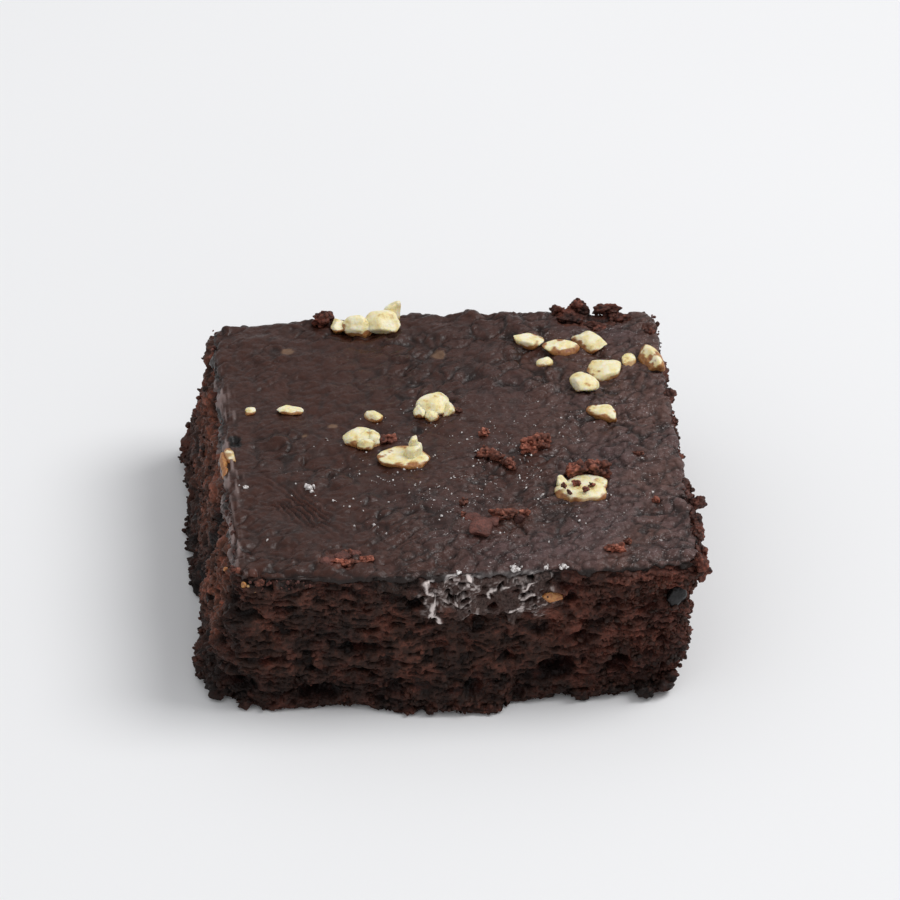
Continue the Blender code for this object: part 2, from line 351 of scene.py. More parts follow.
crumbLook = {
    # the darkest colour is painted shade for pits, slits and the gaps between grains; crest is paler
    "paintedPitShade": (0.0040, 0.0017, 0.0013),
    "shade": (0.0165, 0.0070, 0.0048),
    "face": (0.0330, 0.0138, 0.0090),
    "crest": (0.0500, 0.0205, 0.0135),
    "red": (0.0780, 0.0200, 0.0140),
    # how much lighter the left side is painted, as painted light
    "paintedLeftLight": (2.25, 2.05, 1.85),
    # dim darkens the colour where a piece's dim mark says: painted shade low on the sides, under the skin's
    # edge and at the front left corner, and on the grains and lumps near the foot
    "dim": (0.52, 0.52, 0.52),
    # the glaze's grey is partly painted sheen, and the white partly painted highlights
    "glazeAndSheen": (0.072, 0.046, 0.040),
    "white": (0.74, 0.65, 0.62),
    "moist": (0.62, 0.64, 0.66),
    "dry": (1.35, 1.26, 1.20),
    "roughness": (0.40, 0.75),
    "gloss": 0.21,
}
looseLook = dict(
    crumbLook,
    paintedPitShade=(0.016, 0.0055, 0.0036),
    shade=(0.085, 0.0290, 0.0190),
    face=(0.190, 0.0680, 0.0450),
    crest=(0.330, 0.135, 0.094),
    red=(0.18, 0.040, 0.022),
    dim=(0.34, 0.32, 0.34),
)
flakeLook = dict(
    crumbLook,
    paintedPitShade=(0.022, 0.0085, 0.0066),
    shade=(0.066, 0.0240, 0.0190),
    face=(0.090, 0.0365, 0.0300),
    crest=(0.120, 0.052, 0.043),
    red=(0.07, 0.022, 0.016),
)


def crumbMaterial(name, look):
    # painted shade in the pits and slits, redder and paler on the crests, in patches, with grey glaze that is
    # partly painted sheen and white flecks that are partly painted highlights; painted light on the left
    # side, and darker where the dim mark says, painted shade on the sides and near the foot
    material, tree, shader = newMaterial(name)
    stops = ((0.0, look["paintedPitShade"]), (0.40, look["shade"]), (0.72, look["face"]), (1.0, look["crest"]))
    base = addRamp(tree, addMark(tree, "height"), *stops)
    patches = addNoise(tree, 0.45, 4.0, 0.6)
    grain = addNoise(tree, 3.0, 3.0, 0.65)
    moist = addNoise(tree, 0.13, 4.0, 0.65)
    redness = addRange(tree, patches, 0.48, 0.70, 0.0, 0.5)
    redder = addProduct(tree, addMark(tree, "grainy"), 0.55, redness)
    colour = addFactors(
        tree,
        addMix(tree, redder, base, look["red"], "SCREEN"),
        (1.0, addRange(tree, grain, 0.3, 0.7, 0.62, 1.35)),
        (1.0, addRange(tree, patches, 0.36, 0.62, 0.62, 1.32)),
        (addMark(tree, "paintedLeftLight"), look["paintedLeftLight"]),
        (addMark(tree, "dim"), look["dim"]),
        (1.0, addRamp(tree, moist, (0.36, look["moist"]), (0.60, look["dry"]))),
    )
    broken = addProduct(tree, addMark(tree, "glazeAndSheen"), addRange(tree, grain, 0.42, 0.56, 0.10, 1.0))
    colour = addMix(tree, broken, colour, look["glazeAndSheen"])
    cells = addPattern(tree, "TexVoronoi", 3.2, {})
    feed(tree, shader, {
        "Base Color": addMix(tree, addMark(tree, "white"), colour, look["white"]),
        "Roughness": addRange(tree, grain, 0.35, 0.65, *look["roughness"]),
        "Normal": addBump(tree, (cells, 0.09), (grain, 0.08)),
        "Specular IOR Level": look["gloss"],
    })
    return material


skinLook = {
    # hollow is painted shade for the skin's creases, pits and slits
    "paintedHollowShade": (0.0110, 0.0036, 0.0020),
    "face": (0.0375, 0.0112, 0.0060),
    "crest": (0.0630, 0.0220, 0.0135),
    "tan": (0.17, 0.095, 0.055),
    "brown": (1.06, 0.95, 0.86),
    "grey": (0.98, 1.00, 1.08),
    # pale is painted sheen: the skin made paler and greyer towards the right front
    "pale": (2.30, 4.05, 6.50),
    # painted glint colour
    "paintedGlint": (0.55, 0.50, 0.49),
    # hole colour: painted shade, near black, in the deeper holes
    "hole": (0.0030, 0.0018, 0.0014),
    "edge": (0.0165, 0.0095, 0.0078),
    "torn": (0.085, 0.030, 0.020),
    # painted highlight along the left rim, on its streaks
    "paintedRimHighlight": (0.19, 0.135, 0.125),
    # the glaze's grey is partly painted sheen, and the white partly painted highlights
    "glazeAndSheen": (0.085, 0.072, 0.070),
    "white": (0.62, 0.57, 0.55),
    "pebbled": 0.35,  # strength of the fine bumps at the back left
    "roughness": (0.32, 0.52),
    "gloss": 0.285,
}


def skinMaterial(look):
    # leathery skin with painted shade in its hollows, drifting between brown and grey, with painted sheen
    # paler and greyer towards the right front, painted glints, and marked places: painted shade in the deep
    # holes and a painted highlight along the left rim
    material, tree, shader = newMaterial("bakedSkin")
    stops = ((0.0, look["paintedHollowShade"]), (0.5, look["face"]), (1.0, look["crest"]))
    base = addRamp(tree, addMark(tree, "height"), *stops)
    patches = addNoise(tree, 0.09, 2.0)
    speckle = addNoise(tree, 1.15, 3.0, 0.55)
    sparks = addNoise(tree, 3.0, 2.0, distortion=1.5)
    flecked = addNoise(tree, 0.30, 3.0, 0.6)
    fine = addNoise(tree, 2.8, 2.0)
    pale = addMark(tree, "pale")
    colour = addFactors(
        tree,
        base,
        (1.0, addRamp(tree, patches, (0.36, look["brown"]), (0.62, look["grey"]))),
        (1.0, addRange(tree, speckle, 0.35, 0.65, 0.90, 1.10)),
        (pale, look["pale"]),
    )
    # painted glints: pale specks of noise in patches, most towards the right front
    paintedGlint = addRange(tree, sparks, 0.625, 0.70, 0.0, 0.8)
    paintedGlint = addProduct(tree, paintedGlint, addRange(tree, flecked, 0.44, 0.60, 0.0, 1.0))
    paintedGlint = addProduct(tree, paintedGlint, addRange(tree, pale, 0.10, 0.50, 0.08, 1.0))
    colour = addMix(tree, paintedGlint, colour, look["paintedGlint"])
    for mark in ("edge", "torn", "tan", "paintedRimHighlight", "glazeAndSheen", "white", "hole"):
        colour = addMix(tree, addMark(tree, mark), colour, look[mark])
    dents = addPattern(tree, "TexVoronoi", 0.95, {"Smoothness": 0.4}, feature="SMOOTH_F1")
    pebbled = addRange(tree, pale, 0.0, 0.7, look["pebbled"], 1.0)
    feed(tree, shader, {
        "Base Color": colour,
        "Roughness": addRange(tree, fine, 0.35, 0.65, *look["roughness"]),
        "Normal": addBump(tree, (dents, 0.40), (speckle, 0.34), (fine, 0.06), strength=pebbled),
        "Specular IOR Level": look["gloss"],
    })
    return material


nutLook = {
    "cream": (0.80, 0.68, 0.33),
    "pale": (0.88, 0.82, 0.60),
    "amber": (0.50, 0.255, 0.078),
    "skin": (0.26, 0.085, 0.026),
    # rim: an orange-brown edge where a nut meets the skin, partly browned edge and partly painted contact
    # shade
    "rim": (0.40, 0.21, 0.07),
    "roughness": 0.48,
    "waxiness": 0.40,
}


def nutMaterial(look):
    # waxy cream flesh with paler and amber patches, brown skin where the mark says, and an orange-brown rim
    # where it meets the skin, partly browned edge and partly painted contact shade
    material, tree, shader = newMaterial("choppedNut")
    patches = addNoise(tree, 0.7, 4.0, 0.6)
    streaks = addNoise(tree, 2.4, 3.0)
    flesh = addRamp(tree, patches, (0.27, look["amber"]), (0.41, look["cream"]), (0.60, look["pale"]))
    flesh = addMix(tree, addMark(tree, "rim"), flesh, look["rim"])
    tanned = addMix(tree, addRange(tree, streaks, 0.3, 0.7, 0.0, 0.8), look["skin"], look["amber"])
    feed(tree, shader, {
        "Base Color": addMix(tree, addMark(tree, "brownSkin"), flesh, tanned),
        "Normal": addBump(tree, (patches, 0.16), (streaks, 0.08)),
        "Roughness": look["roughness"],
        "Subsurface Weight": look["waxiness"],
        "Subsurface Radius": (1.0, 0.7, 0.3),
        "Subsurface Scale": 0.8 * mm,
    })
    return material


chipLook = {"low": (0.002, 0.0018, 0.0018), "high": (0.014, 0.012, 0.013), "roughness": 0.34, "gloss": 0.36}
# pale grains, partly sugar and partly painted glints
sugarAndGlintLook = {"low": (0.32, 0.28, 0.27), "high": (0.80, 0.76, 0.74), "roughness": 0.35, "gloss": 0.5}


def speckedMaterial(name, look):
    # fine grains between two colours, broken up by noise
    material, tree, shader = newMaterial(name)
    specks = addNoise(tree, 3.0, 2.0)
    feed(tree, shader, {
        "Base Color": addRamp(tree, specks, (0.35, look["low"]), (0.6, look["high"])),
        "Normal": addBump(tree, (specks, 0.06)),
        "Roughness": look["roughness"],
        "Specular IOR Level": look["gloss"],
    })
    return material


# Grey glaze with white flecks, high on the front: its grey is partly painted sheen and its white partly
# painted highlights

glazeAndSheen = {
    "middle": (5.0, 17.2),  # x and z
    "half": (8.7, 3.9),
    "ragged": (1.9, 0.30, 201),  # patch size, share of the oval, seed
    "pores": (1.5, 0.75, 0.36, 202),  # width, height, radius, seed
    "holes": (
        # x, z, half wide, half tall of its large pores
        (6.2, 18.5, 0.42, 0.55),
        (5.0, 15.6, 0.75, 0.45),
        (9.4, 17.2, 0.95, 0.45),
        (3.9, 13.6, 0.8, 0.5),
        (9.9, 16.1, 0.9, 0.35),
        (-4.7, 16.7, 0.9, 0.7),
    ),
    "streaks": (
        # from and to as x and z, and half width, of its white streaks
        ((-3.7, 18.9), (-2.6, 19.3), 0.14),
        ((-3.7, 18.9), (-3.6, 17.9), 0.17),
        ((-3.6, 17.9), (-2.2, 17.6), 0.15),
        ((-2.2, 16.7), (-2.6, 15.8), 0.32),
        ((-2.6, 15.8), (-2.9, 14.8), 0.50),
        ((-2.2, 14.3), (-2.0, 13.6), 0.24),
        ((4.3, 16.9), (5.2, 17.9), 0.18),
        ((5.2, 17.9), (7.1, 18.5), 0.24),
        ((8.9, 18.0), (10.9, 18.7), 0.18),
        ((7.2, 14.7), (9.3, 14.9), 0.15),
        ((8.6, 16.7), (10.4, 16.8), 0.13),
    ),
    "whiteLines": (1.25, 0.30, 0.085, 203),  # width and height of the patches in its lines, thinness, seed
    "whiteLinePatches": (2.4, 205),  # patches where the lines are white, seed
    "blobs": (
        # x, z, half wide, half tall of white places
        (-0.1, 19.8, 0.6, 0.35),
        (2.2, 19.5, 0.5, 0.3),
        (0.6, 16.4, 0.35, 0.3),
        (13.0, 19.2, 0.5, 0.45),
    ),
}


def glazeShare(points, outward):
    # 1 inside a ragged oval on the front and about its streaks, 0 beyond
    x, z = glazeAndSheen["middle"]
    halfWide, halfTall = glazeAndSheen["half"]
    patch, size, seed = glazeAndSheen["ragged"]
    across, up = np.abs(points[:, 0] - x) / halfWide, np.abs(points[:, 2] - z) / halfTall
    away = (across**3 + up**3) ** (1 / 3) + size * layeredNoise(points / patch, seed)
    share = 1 - smoothStep(0.70, 1.10, away)
    for start, end, halfWide in glazeAndSheen["streaks"]:
        away = distanceToLine(points[:, [0, 2]], start, end) / halfWide
        share = np.maximum(share, 1 - smoothStep(1.2, 2.4, away))
    return share * np.clip(-outward[:, 1] * 2 - 1, 0, 1)


def glazePores(points):
    # how deep a point lies in one of the glaze's pores, 0 to 1, and how white it is, the white partly a smear
    # and partly painted highlights: on thin lines where a noise crosses zero, on the pores' rims, in the
    # blobs and along the streaks
    width, tall, radius, seed = glazeAndSheen["pores"]
    shaken = points + 0.25 * latticeNoise(points / 0.7, 204)[:, None]
    near, _, own = cellDistance(shaken / (width, width, tall), seed)
    opened = (own > 0.35) * (0.7 + 0.6 * own)
    away = near / (radius * np.maximum(opened, 0.1))
    depth = opened * (1 - smoothStep(0.55, 1.0, away))
    for hole in glazeAndSheen["holes"]:
        depth = np.maximum(depth, 1 - smoothStep(0.6, 1.1, ovalReach(shaken, *hole)))
    width, tall, thin, seed = glazeAndSheen["whiteLines"]
    patch, whitePatchSeed = glazeAndSheen["whiteLinePatches"]
    lines = np.exp(-((layeredNoise(shaken / (width, width, tall), seed, 2) / thin) ** 2))
    whiteLinePatches = smoothStep(-0.25, 0.45, layeredNoise(points / patch, whitePatchSeed, 2))
    lines *= smoothStep(-0.10, 0.50, latticeNoise(points / 0.45, 206))
    dots = smoothStep(0.34, 0.60, latticeNoise(points / (0.42, 0.42, 0.26), 208))
    white = (0.45 * lines + 0.50 * dots + 0.15 * opened * bump((away - 1.2) / 0.3)) * whiteLinePatches
    ragged = 0.55 * layeredNoise(points / 0.38, 207, 2)
    for blob in glazeAndSheen["blobs"]:
        white = np.maximum(white, 1 - smoothStep(0.6, 1.1, ovalReach(shaken, *blob) + ragged))
    for start, end, halfWide in glazeAndSheen["streaks"]:
        away = distanceToLine(shaken[:, [0, 2]], start, end) / halfWide
        white = np.maximum(white, 0.95 * (1 - smoothStep(0.5, 1.15, away + ragged)))
    return depth, np.clip(white, 0, 1)


# Torn crumb of the four cut sides

crumb = {
    "sides": (("frontCrumb", 600), ("rightCrumb", 400), ("backCrumb", 330), ("leftCrumb", 400)),  # columns
    "rows": 134,
    "thick": 2.5,
    "low": 0.25,
    "high": 19.9,
    "settle": 1.0,  # the relief fades out this far below the top row
    "full": 0.42,  # how far the crests stand out past the solid's own surface
    "crags": ((5.5, 2.6, 0.75, 11), (2.9, 1.5, 0.42, 12)),  # width, height, size, seed
    "hollows": (
        # x, z, half wide, half tall, depth
        (13.6, 5.0, 3.0, 1.9, 2.8),
        (21.6, 5.2, 2.0, 1.7, 2.4),
        (17.0, 9.6, 2.4, 0.8, 1.2),
        (-11.7, 9.6, 3.6, 1.0, 1.6),
        (29.2, 14.8, 1.8, 1.9, 1.7),
        (-4.8, 16.0, 1.4, 0.9, 1.5),
        (2.6, 3.6, 1.6, 1.4, 1.8),
        (-17.2, 2.6, 4.6, 1.5, 1.9),
        (-11.2, 6.0, 2.6, 0.5, 1.2),
        (-24.2, 7.8, 3.8, 0.6, 1.1),
        (-27.0, 3.4, 2.6, 1.8, 1.4),
        (11.8, 11.2, 2.4, 0.9, 1.2),
    ),
    "cracks": (
        # from and to as x, y, z, half width, depth
        ((-28.3, -11.8, 17.8), (-29.0, -10.6, 15.0), 1.8, 1.2),
        ((-29.0, -10.6, 15.0), (-30.2, -8.6, 9.3), 3.0, 1.8),
        ((-30.2, -8.6, 9.3), (-31.9, -6.6, 0.8), 4.0, 1.8),
    ),
    "warp": (1.5, 0.55, 0.40),  # patch size, and the shift along and up
    "slits": (
        # width, height, noise at which they open, noise at which they are full, depth, seed
        (3.6, 1.2, 0.46, 0.82, 1.4, 61),
        (1.7, 0.44, 0.22, 0.55, 0.90, 62),
        (0.90, 0.28, 0.18, 0.55, 0.50, 63),
    ),
    "grains": (0.62, 0.48, 0.32, 64),  # width, height, size, seed
    "fine": (0.55, 0.30, 0.11, 65),  # width, height, size, seed
    "coarseFrom": 10.0,  # from here to the right the crumb turns from layered to grainy
    "coarseTo": 27.0,
}


def cragHeight(points):
    # flat lumps wider than they are tall, the same as the solid's
    height = np.zeros(len(points))
    for width, tall, size, seed in crumb["crags"]:
        height += size * latticeNoise(points / (width, width, tall), seed)
    return height


def tornRelief(points, outward):
    # the crags and hollows of the solid, with flat slits where a stretched noise is high, grains and
    # fine roughness. Gives the relief in millimetres, marks for the colours and the shift along.
    patch, along, up = crumb["warp"]
    warp = np.stack([latticeNoise(points / patch, seed) for seed in (51, 52, 53)], axis=1)
    warp *= (along, along, up)
    moved = points + warp
    x, y, z = points.T
    solid = cragHeight(points)
    holes, crackShade, slits = np.zeros((3, len(points)))
    for *oval, deep in crumb["hollows"]:
        away = ovalReach(moved, *oval)
        holes += deep * (1 - smoothStep(0.35, 1.0, away)) * np.clip(-outward[:, 1], 0, 1)
    # painted shade: along the cracks the colour is also painted dark, by the crack share below
    for start, end, halfWide, deep in crumb["cracks"]:
        share = bump(distanceToLine(moved, start, end) / halfWide)
        holes = np.maximum(holes, deep * share)
        crackShade = np.maximum(crackShade, smoothStep(0.02, 0.30, share))
    toRight, toLeft = outward[:, 0], -outward[:, 0]
    coarse = smoothStep(crumb["coarseFrom"], crumb["coarseTo"], x + 6 * latticeNoise(points / 7, 54))
    low = 1 - smoothStep(0.5, 5.0, z + 3 * latticeNoise(points / 5, 55))
    for share in (0.3 * low, 0.6 * smoothStep(0.3, 0.9, toLeft)):
        coarse = np.maximum(coarse, share)
    for width, tall, opened, full, depth, seed in crumb["slits"]:
        noise = layeredNoise(moved / (width, width, tall), seed, 2)
        slits += depth * smoothStep(opened, full, noise)
    width, tall, size, seed = crumb["grains"]
    near, _, own = cellDistance(moved / (width, width, tall), seed)
    grains = size * (0.15 + coarse) * (0.3 + own) * np.sqrt(np.clip(1 - (near / 0.85) ** 2, 0, 1))
    width, tall, size, seed = crumb["fine"]
    fine = size * layeredNoise(moved / (width, width, tall), seed)
    glazed = glazeShare(points, outward)
    pores, white = glazePores(points)
    bare = 1 - 0.9 * glazed
    left = smoothStep(0.5, 1.0, toLeft)
    corner = smoothStep(0.12, 0.42, np.prod(np.minimum(outward[:, :2], 0), axis=1))
    # painted shade: darker just under the skin's edge except on the left, round the front left corner and
    # towards the foot
    underSkin = smoothStep(17.2, 19.4, z + 0.8 * latticeNoise(points / 2.2, 57))
    foot = 1 - smoothStep(1.5, 9.0, z + 2.5 * latticeNoise(points / 4, 56))
    paintedShade = np.maximum(corner, 0.6 * underSkin * (1 - left))
    # painted light: the left side painted lighter, from a few millimetres up, fading out towards the back
    paintedLeftLight = smoothStep(0.86, 1.0, toLeft) * smoothStep(3, 11, z) * (1 - smoothStep(16, 30, y))
    slits *= 0.72 + 0.28 * coarse
    solid = solid - 0.45 * left - 0.6 * smoothStep(15.5, 19.0, z) * smoothStep(0.5, 1.0, toRight)
    relief = crumb["full"] + (solid - holes - slits + grains) * bare + fine
    relief += glazed * (0.20 - 1.4 * pores + 0.10 * white)
    depth = (slits + 0.8 * holes) * bare + 1.1 * pores * glazed
    # painted shade: the height mark is low in the slits, hollows, cracks and pores, which paints them dark,
    # and high on grains and crests
    height = np.clip(0.78 - 0.72 * depth + 1.5 * fine + 1.2 * grains + 0.12 * solid, 0, 1)
    marks = {
        "height": height * (1 - 0.9 * crackShade),
        "grainy": coarse * (1 - glazed) * (1 - 0.9 * left),
        "paintedLeftLight": paintedLeftLight * (1 - crackShade),
        "dim": np.maximum(foot, paintedShade),
        # the glaze and white marks: grey partly painted sheen, white partly painted highlights
        "glazeAndSheen": glazed * (1 - smoothStep(0.2, 0.8, pores)),
        "white": glazed * white * (1 - smoothStep(0.1, 0.4, pores)),
    }
    return relief, marks, warp


def makeCrumb(material):
    # each side is a sheet of rows and columns moved outwards by the relief, with walls that lead
    # inwards from its rim and a flat back, so that it is a closed slab
    gathered = []
    rows, low, high = crumb["rows"], crumb["low"], crumb["high"]
    for side, (name, columns) in enumerate(crumb["sides"]):
        across, deep = sideOfSquare(side, columns)
        heights = np.repeat(np.linspace(low, high, rows), columns)
        base, outward, _ = shapedBlock(np.tile(across, rows), np.tile(deep, rows), heights / cut["height"])
        relief, marks, warp = tornRelief(base, outward)
        settled = 1 - smoothStep(high - crumb["settle"], high, heights)
        relief = relief * settled - 0.5 * (1 - settled)
        rooted = smoothStep(0, 1.2, heights - low) * settled
        sheet = base + warp * rooted[:, None]
        sheet[:, :2] += outward * relief[:, None]
        grid = np.arange(rows * columns).reshape(rows, columns)
        rim = gridRim(grid)
        back = base[rim].copy()
        back[:, :2] -= outward[rim] * crumb["thick"]
        backRim = grid.size + np.arange(len(rim))
        faceSets = [np.concatenate([gridFaces(grid), ringFaces(backRim, rim)]), backRim[::-1][None]]
        newPiece(name, np.concatenate([sheet, back]), faceSets, material, marks)
        gathered.append((sheet, outward, marks["height"]))
    return [np.concatenate(parts) for parts in zip(*gathered)]


# Baked skin over the top

skin = {
    "cells": 276,  # along each side of the top
    "skirtRows": 12,
    "skirtDepth": 2.8,
    "proud": 0.12,  # how far the skin lies above the solid
    "edgeDrop": (1.15, 0.65, 1.9, 81),  # how far the skin reaches down, how much that varies, patch, seed
    "rightDrop": 0.2,  # how much less it reaches down at the right
    "leftDrop": 0.9,  # how much more it reaches down at the left
    "dimples": ((11.0, 0.28, 21), (4.5, 0.14, 22)),  # width, size, seed
    "lumps": ((3.2, 0.36, 71), (1.5, 0.24, 75)),  # width, size, seed
    "turn": (33.0, 24.0),  # how far the lumps' lattice is turned, in degrees
    "plates": ((2.3, 0.16, 0.22, 76), (1.05, 0.07, 0.28, 74)),  # size, depth and width of gaps, seed
    "platesLong": 1.7,  # how many times longer than wide they are
    # painted shade: holes deeper than this are painted near black
    "paintedShadeFrom": 0.52,  # how deep a hole has to be to look dark
    "holes": (
        # middle x and y, radius and depth
        (-26.3, 1.6, 0.95, 0.55),
        (-26.2, 0.4, 0.90, 0.55),
        (31.5, -16.2, 1.1, 2.4),
        (-19.8, 22.4, 1.4, 0.2),
        (24.4, 29.2, 1.7, 1.6),
        (11.6, 24.2, 1.4, 0.5),
        (14.6, -5.0, 0.9, 0.5),
        (-2.2, 2.2, 1.0, 0.4),
    ),
    "tanSpots": ((-18.2, 22.1, 0.95), (2.1, 20.5, 1.0), (-13.1, 4.2, 0.7), (-17.0, 2.0, 0.4)),  # x, y, radius
    "calm": (7.0, 77),  # patches where the lumps are weaker, and the seed
    "creases": ((6.5, 3.2), 0.050, 0.10, 78),  # patch along and across, half width as noise, depth, seed
    "pits": (1.9, 0.62, 0.17, 0.22, 73),  # cell size, share without, radius, depth, seed
    "wrinkles": (
        # middle x and y, heading in degrees, half length, half width, spacing, height
        (-18.8, -14.8, -46, 10.5, 4.2, 1.6, 0.30),
        (-21.5, 18.0, -38, 12.0, 6.0, 3.4, 0.07),
        (9.0, -9.0, -20, 16.0, 9.0, 1.7, 0.04),
        (-4.0, -24.0, 8, 15.0, 3.5, 1.6, 0.05),
        (20.0, -20.0, 25, 9.0, 7.0, 1.9, 0.05),
    ),
    "slits": (1.5, 0.5, 0.30, 0.60, 0.9, 84),  # width, height, opening noise, full, depth, seed
    "streaks": (0.42, 4.0, 82),  # width across and length along the left edge, seed
    "torn": (
        # middle x and y and radius of places where the skin is rubbed off
        (-14.4, -27.0, 2.4),
        (-26.0, -30.4, 2.2),
        (20.6, 28.6, 2.2),
        (24.4, 27.6, 2.6),
        (27.2, 28.6, 2.0),
        (31.0, 25.0, 1.3),
    ),
}


def wrinkleHeight(points):
    # bundles of fine parallel ridges, each a warped sine across its heading, faded out at its edges and
    # in patches between
    height = np.zeros(len(points))
    sway = latticeNoise(points / 3.1, 91) + 0.45 * latticeNoise(points / 1.3, 93)
    patchy = smoothStep(-0.45, 0.35, latticeNoise(points / 2.4, 94))
    for x, y, heading, halfLong, halfWide, spacing, size in skin["wrinkles"]:
        turn = math.radians(heading)
        dx, dy = points[:, 0] - x, points[:, 1] - y
        along = dx * math.cos(turn) + dy * math.sin(turn)
        aside = dy * math.cos(turn) - dx * math.sin(turn)
        inside = bump(np.hypot(along / halfLong, aside / halfWide))
        wave = np.sin(2 * math.pi * (aside / spacing + 0.55 * sway) + 0.35 * along)
        height += size * inside * patchy * (1 - 2 * np.abs(wave) ** 1.3)
    return height


def skinRelief(points):
    # dimples as on the solid, lumps, plates with creases between them, pits and wrinkles. Gives the
    # relief in millimetres, the fine part of it and the torn share.
    broad, fine = np.zeros((2, len(points)))
    for width, size, seed in skin["dimples"]:
        broad += size * latticeNoise(points / width, seed)
    patch, calmSeed = skin["calm"]
    strength = 0.55 + 0.75 * smoothStep(-0.4, 0.4, latticeNoise(points / patch, calmSeed))
    rough = strength + 0.6 * smoothStep(2, 28, points[:, 0])
    level, tilted = [math.radians(angle) for angle in skin["turn"]]
    turn = np.array(Matrix.Rotation(level, 3, "Z") @ Matrix.Rotation(tilted, 3, "X"))
    sway = np.stack([latticeNoise(points / 1.9, seed) for seed in (93, 94, 90)], axis=1)
    shaken = points @ turn + 0.55 * sway
    for width, size, seed in skin["lumps"]:
        broad += size * strength * latticeNoise(shaken / width, seed)
    for size, depth, wide, seed in skin["plates"]:
        near, second, own = cellDistance(shaken / (size * skin["platesLong"], size, size), seed)
        fine -= depth * rough * (0.4 + own) * (1 - smoothStep(0.0, wide, second - near))
    shaken = points + 0.3 * sway
    for *spot, depth in skin["holes"]:
        fine -= depth * spotShare(shaken, [spot], 0.35, 1.0)
    (long, wide), narrow, depth, seed = skin["creases"]
    fold = latticeNoise(points @ turn / (long, wide, wide), seed)
    fold += 0.25 * latticeNoise(shaken / 1.4, seed + 1)
    fine -= depth * rough * np.exp(-((fold / narrow) ** 2))
    size, without, radius, depth, seed = skin["pits"]
    near, _, own = cellDistance(points / size, seed)
    fine -= depth * rough * np.clip((own - without) / (1 - without), 0, 1) * bump(near / radius)
    fine += wrinkleHeight(points)
    torn = spotShare(points, skin["torn"], 0.75, 1.0, 0.45 * layeredNoise(points / 1.4, 92, 2))
    near, _, own = cellDistance(points / (0.75, 0.75, 0.6), 95)
    fine += torn * (0.32 * (0.4 + own) * np.sqrt(np.clip(1 - near**2, 0, 1)) - 0.45)
    return broad + fine, fine, torn


def makeSkin(material):
    # a grid over the top, whose rim is drawn down the sides and then in under the crumb, and a cap
    rows = skin["skirtRows"]
    across, deep, grid = squareGrid(skin["cells"])
    rim = gridRim(grid)
    drop = np.repeat(skin["skirtDepth"] * np.arange(1, rows + 1) / rows, len(rim))
    across = np.concatenate([across, np.tile(across[rim], rows)])
    deep = np.concatenate([deep, np.tile(deep[rim], rows)])
    drop = np.concatenate([np.zeros(grid.size), drop])
    base, outward, sideShare = shapedBlock(across, deep, 1 - drop / cut["height"])
    normal = np.column_stack([outward * sideShare[:, None], 1 - sideShare])
    normal /= np.linalg.norm(normal, axis=1)[:, None]
    relief, fine, torn = skinRelief(base)
    reach, varies, patch, seed = skin["edgeDrop"]
    edge = reach + varies * layeredNoise(base / patch, seed) - 1.1 * torn
    toLeft, toRight = np.clip(-outward[:, 0], 0, 1), np.clip(outward[:, 0], 0, 1)
    edge += skin["leftDrop"] * toLeft - skin["rightDrop"] * toRight
    dive = smoothStep(edge - 0.25, edge + 0.45, drop)
    buried = smoothStep(0, skin["skirtDepth"], drop)
    fromLeft = (1 + across) * cut["side"] / 2 + 0.8 * latticeNoise(base / 2.5, 83)
    left = (1 - smoothStep(0.6, 2.3, fromLeft)) * (1 - smoothStep(20, 26, np.abs(base[:, 1] + 5)))
    wide, long, seed = skin["streaks"]
    streaks = layeredNoise(base / (wide, long, wide * 1.5), seed)
    wide, tall, opened, full, depth, seed = skin["slits"]
    slits = smoothStep(opened, full, layeredNoise(base / (wide, wide, tall), seed, 2))
    slits *= smoothStep(0.5, 1.0, sideShare)
    lift = skin["proud"] + relief + 0.34 * left * streaks - depth * slits - dive * (0.5 + 1.6 * buried)
    points = base + normal * lift[:, None]
    skirt = grid.size + np.arange(rows * len(rim)).reshape(rows, len(rim))
    innerRing = len(points) + np.arange(len(rim))
    points = np.concatenate([points, points[skirt[-1]] * (0.93, 0.93, 1.0)])
    stack = [rim, *skirt, innerRing]
    sides = [ringFaces(lower, upper) for upper, lower in zip(stack, stack[1:])]
    faceSets = [np.concatenate([gridFaces(grid), *sides]), innerRing[::-1][None]]
    glazed = glazeShare(base, outward) * smoothStep(0.3, 0.7, sideShare)
    holes = [spot for *spot, depth in skin["holes"] if depth > skin["paintedShadeFrom"]]
    slant = base[:, 0] - 0.25 * base[:, 1]
    marks = {
        # painted shade: the height mark is low in the creases, pits, holes, gaps between plates and slits
        "height": np.clip(0.62 + 2.0 * fine - 0.6 * slits, 0, 1),
        # painted shade in the deeper holes
        "hole": spotShare(base, holes, 0.75, 1.15),
        "edge": smoothStep(0.0, 0.7, drop + 0.4 * latticeNoise(base / 0.9, 96)),
        "torn": torn,
        "tan": 0.85 * spotShare(base, skin["tanSpots"], 0.6, 1.1, 0.3 * layeredNoise(base / 0.8, 79, 2)),
        # painted sheen: the share of the top made paler and greyer, rising towards the right front
        "pale": smoothStep(-9, 33, slant + 8 * latticeNoise(base / 14, 85)),
        # painted highlight along the left rim, on its streaks
        "paintedRimHighlight": left * smoothStep(-0.05, 0.55, streaks),
        # the glaze and white marks: grey partly painted sheen, white partly painted highlights
        "glazeAndSheen": glazed,
        "white": glazed * glazePores(base)[1],
    }
    newPiece("bakedSkin", points, faceSets, material, marks)


def skinTop(places):
    # the height of the skin's surface at each place x, y
    points = np.column_stack([places, np.full(len(places), cut["height"])])
    return cut["height"] + skin["proud"] + skinRelief(points)[0]


# Flat underside

underside = {"cells": 110, "share": 0.955, "rough": (0.9, 0.16, 97), "thick": 1.2}


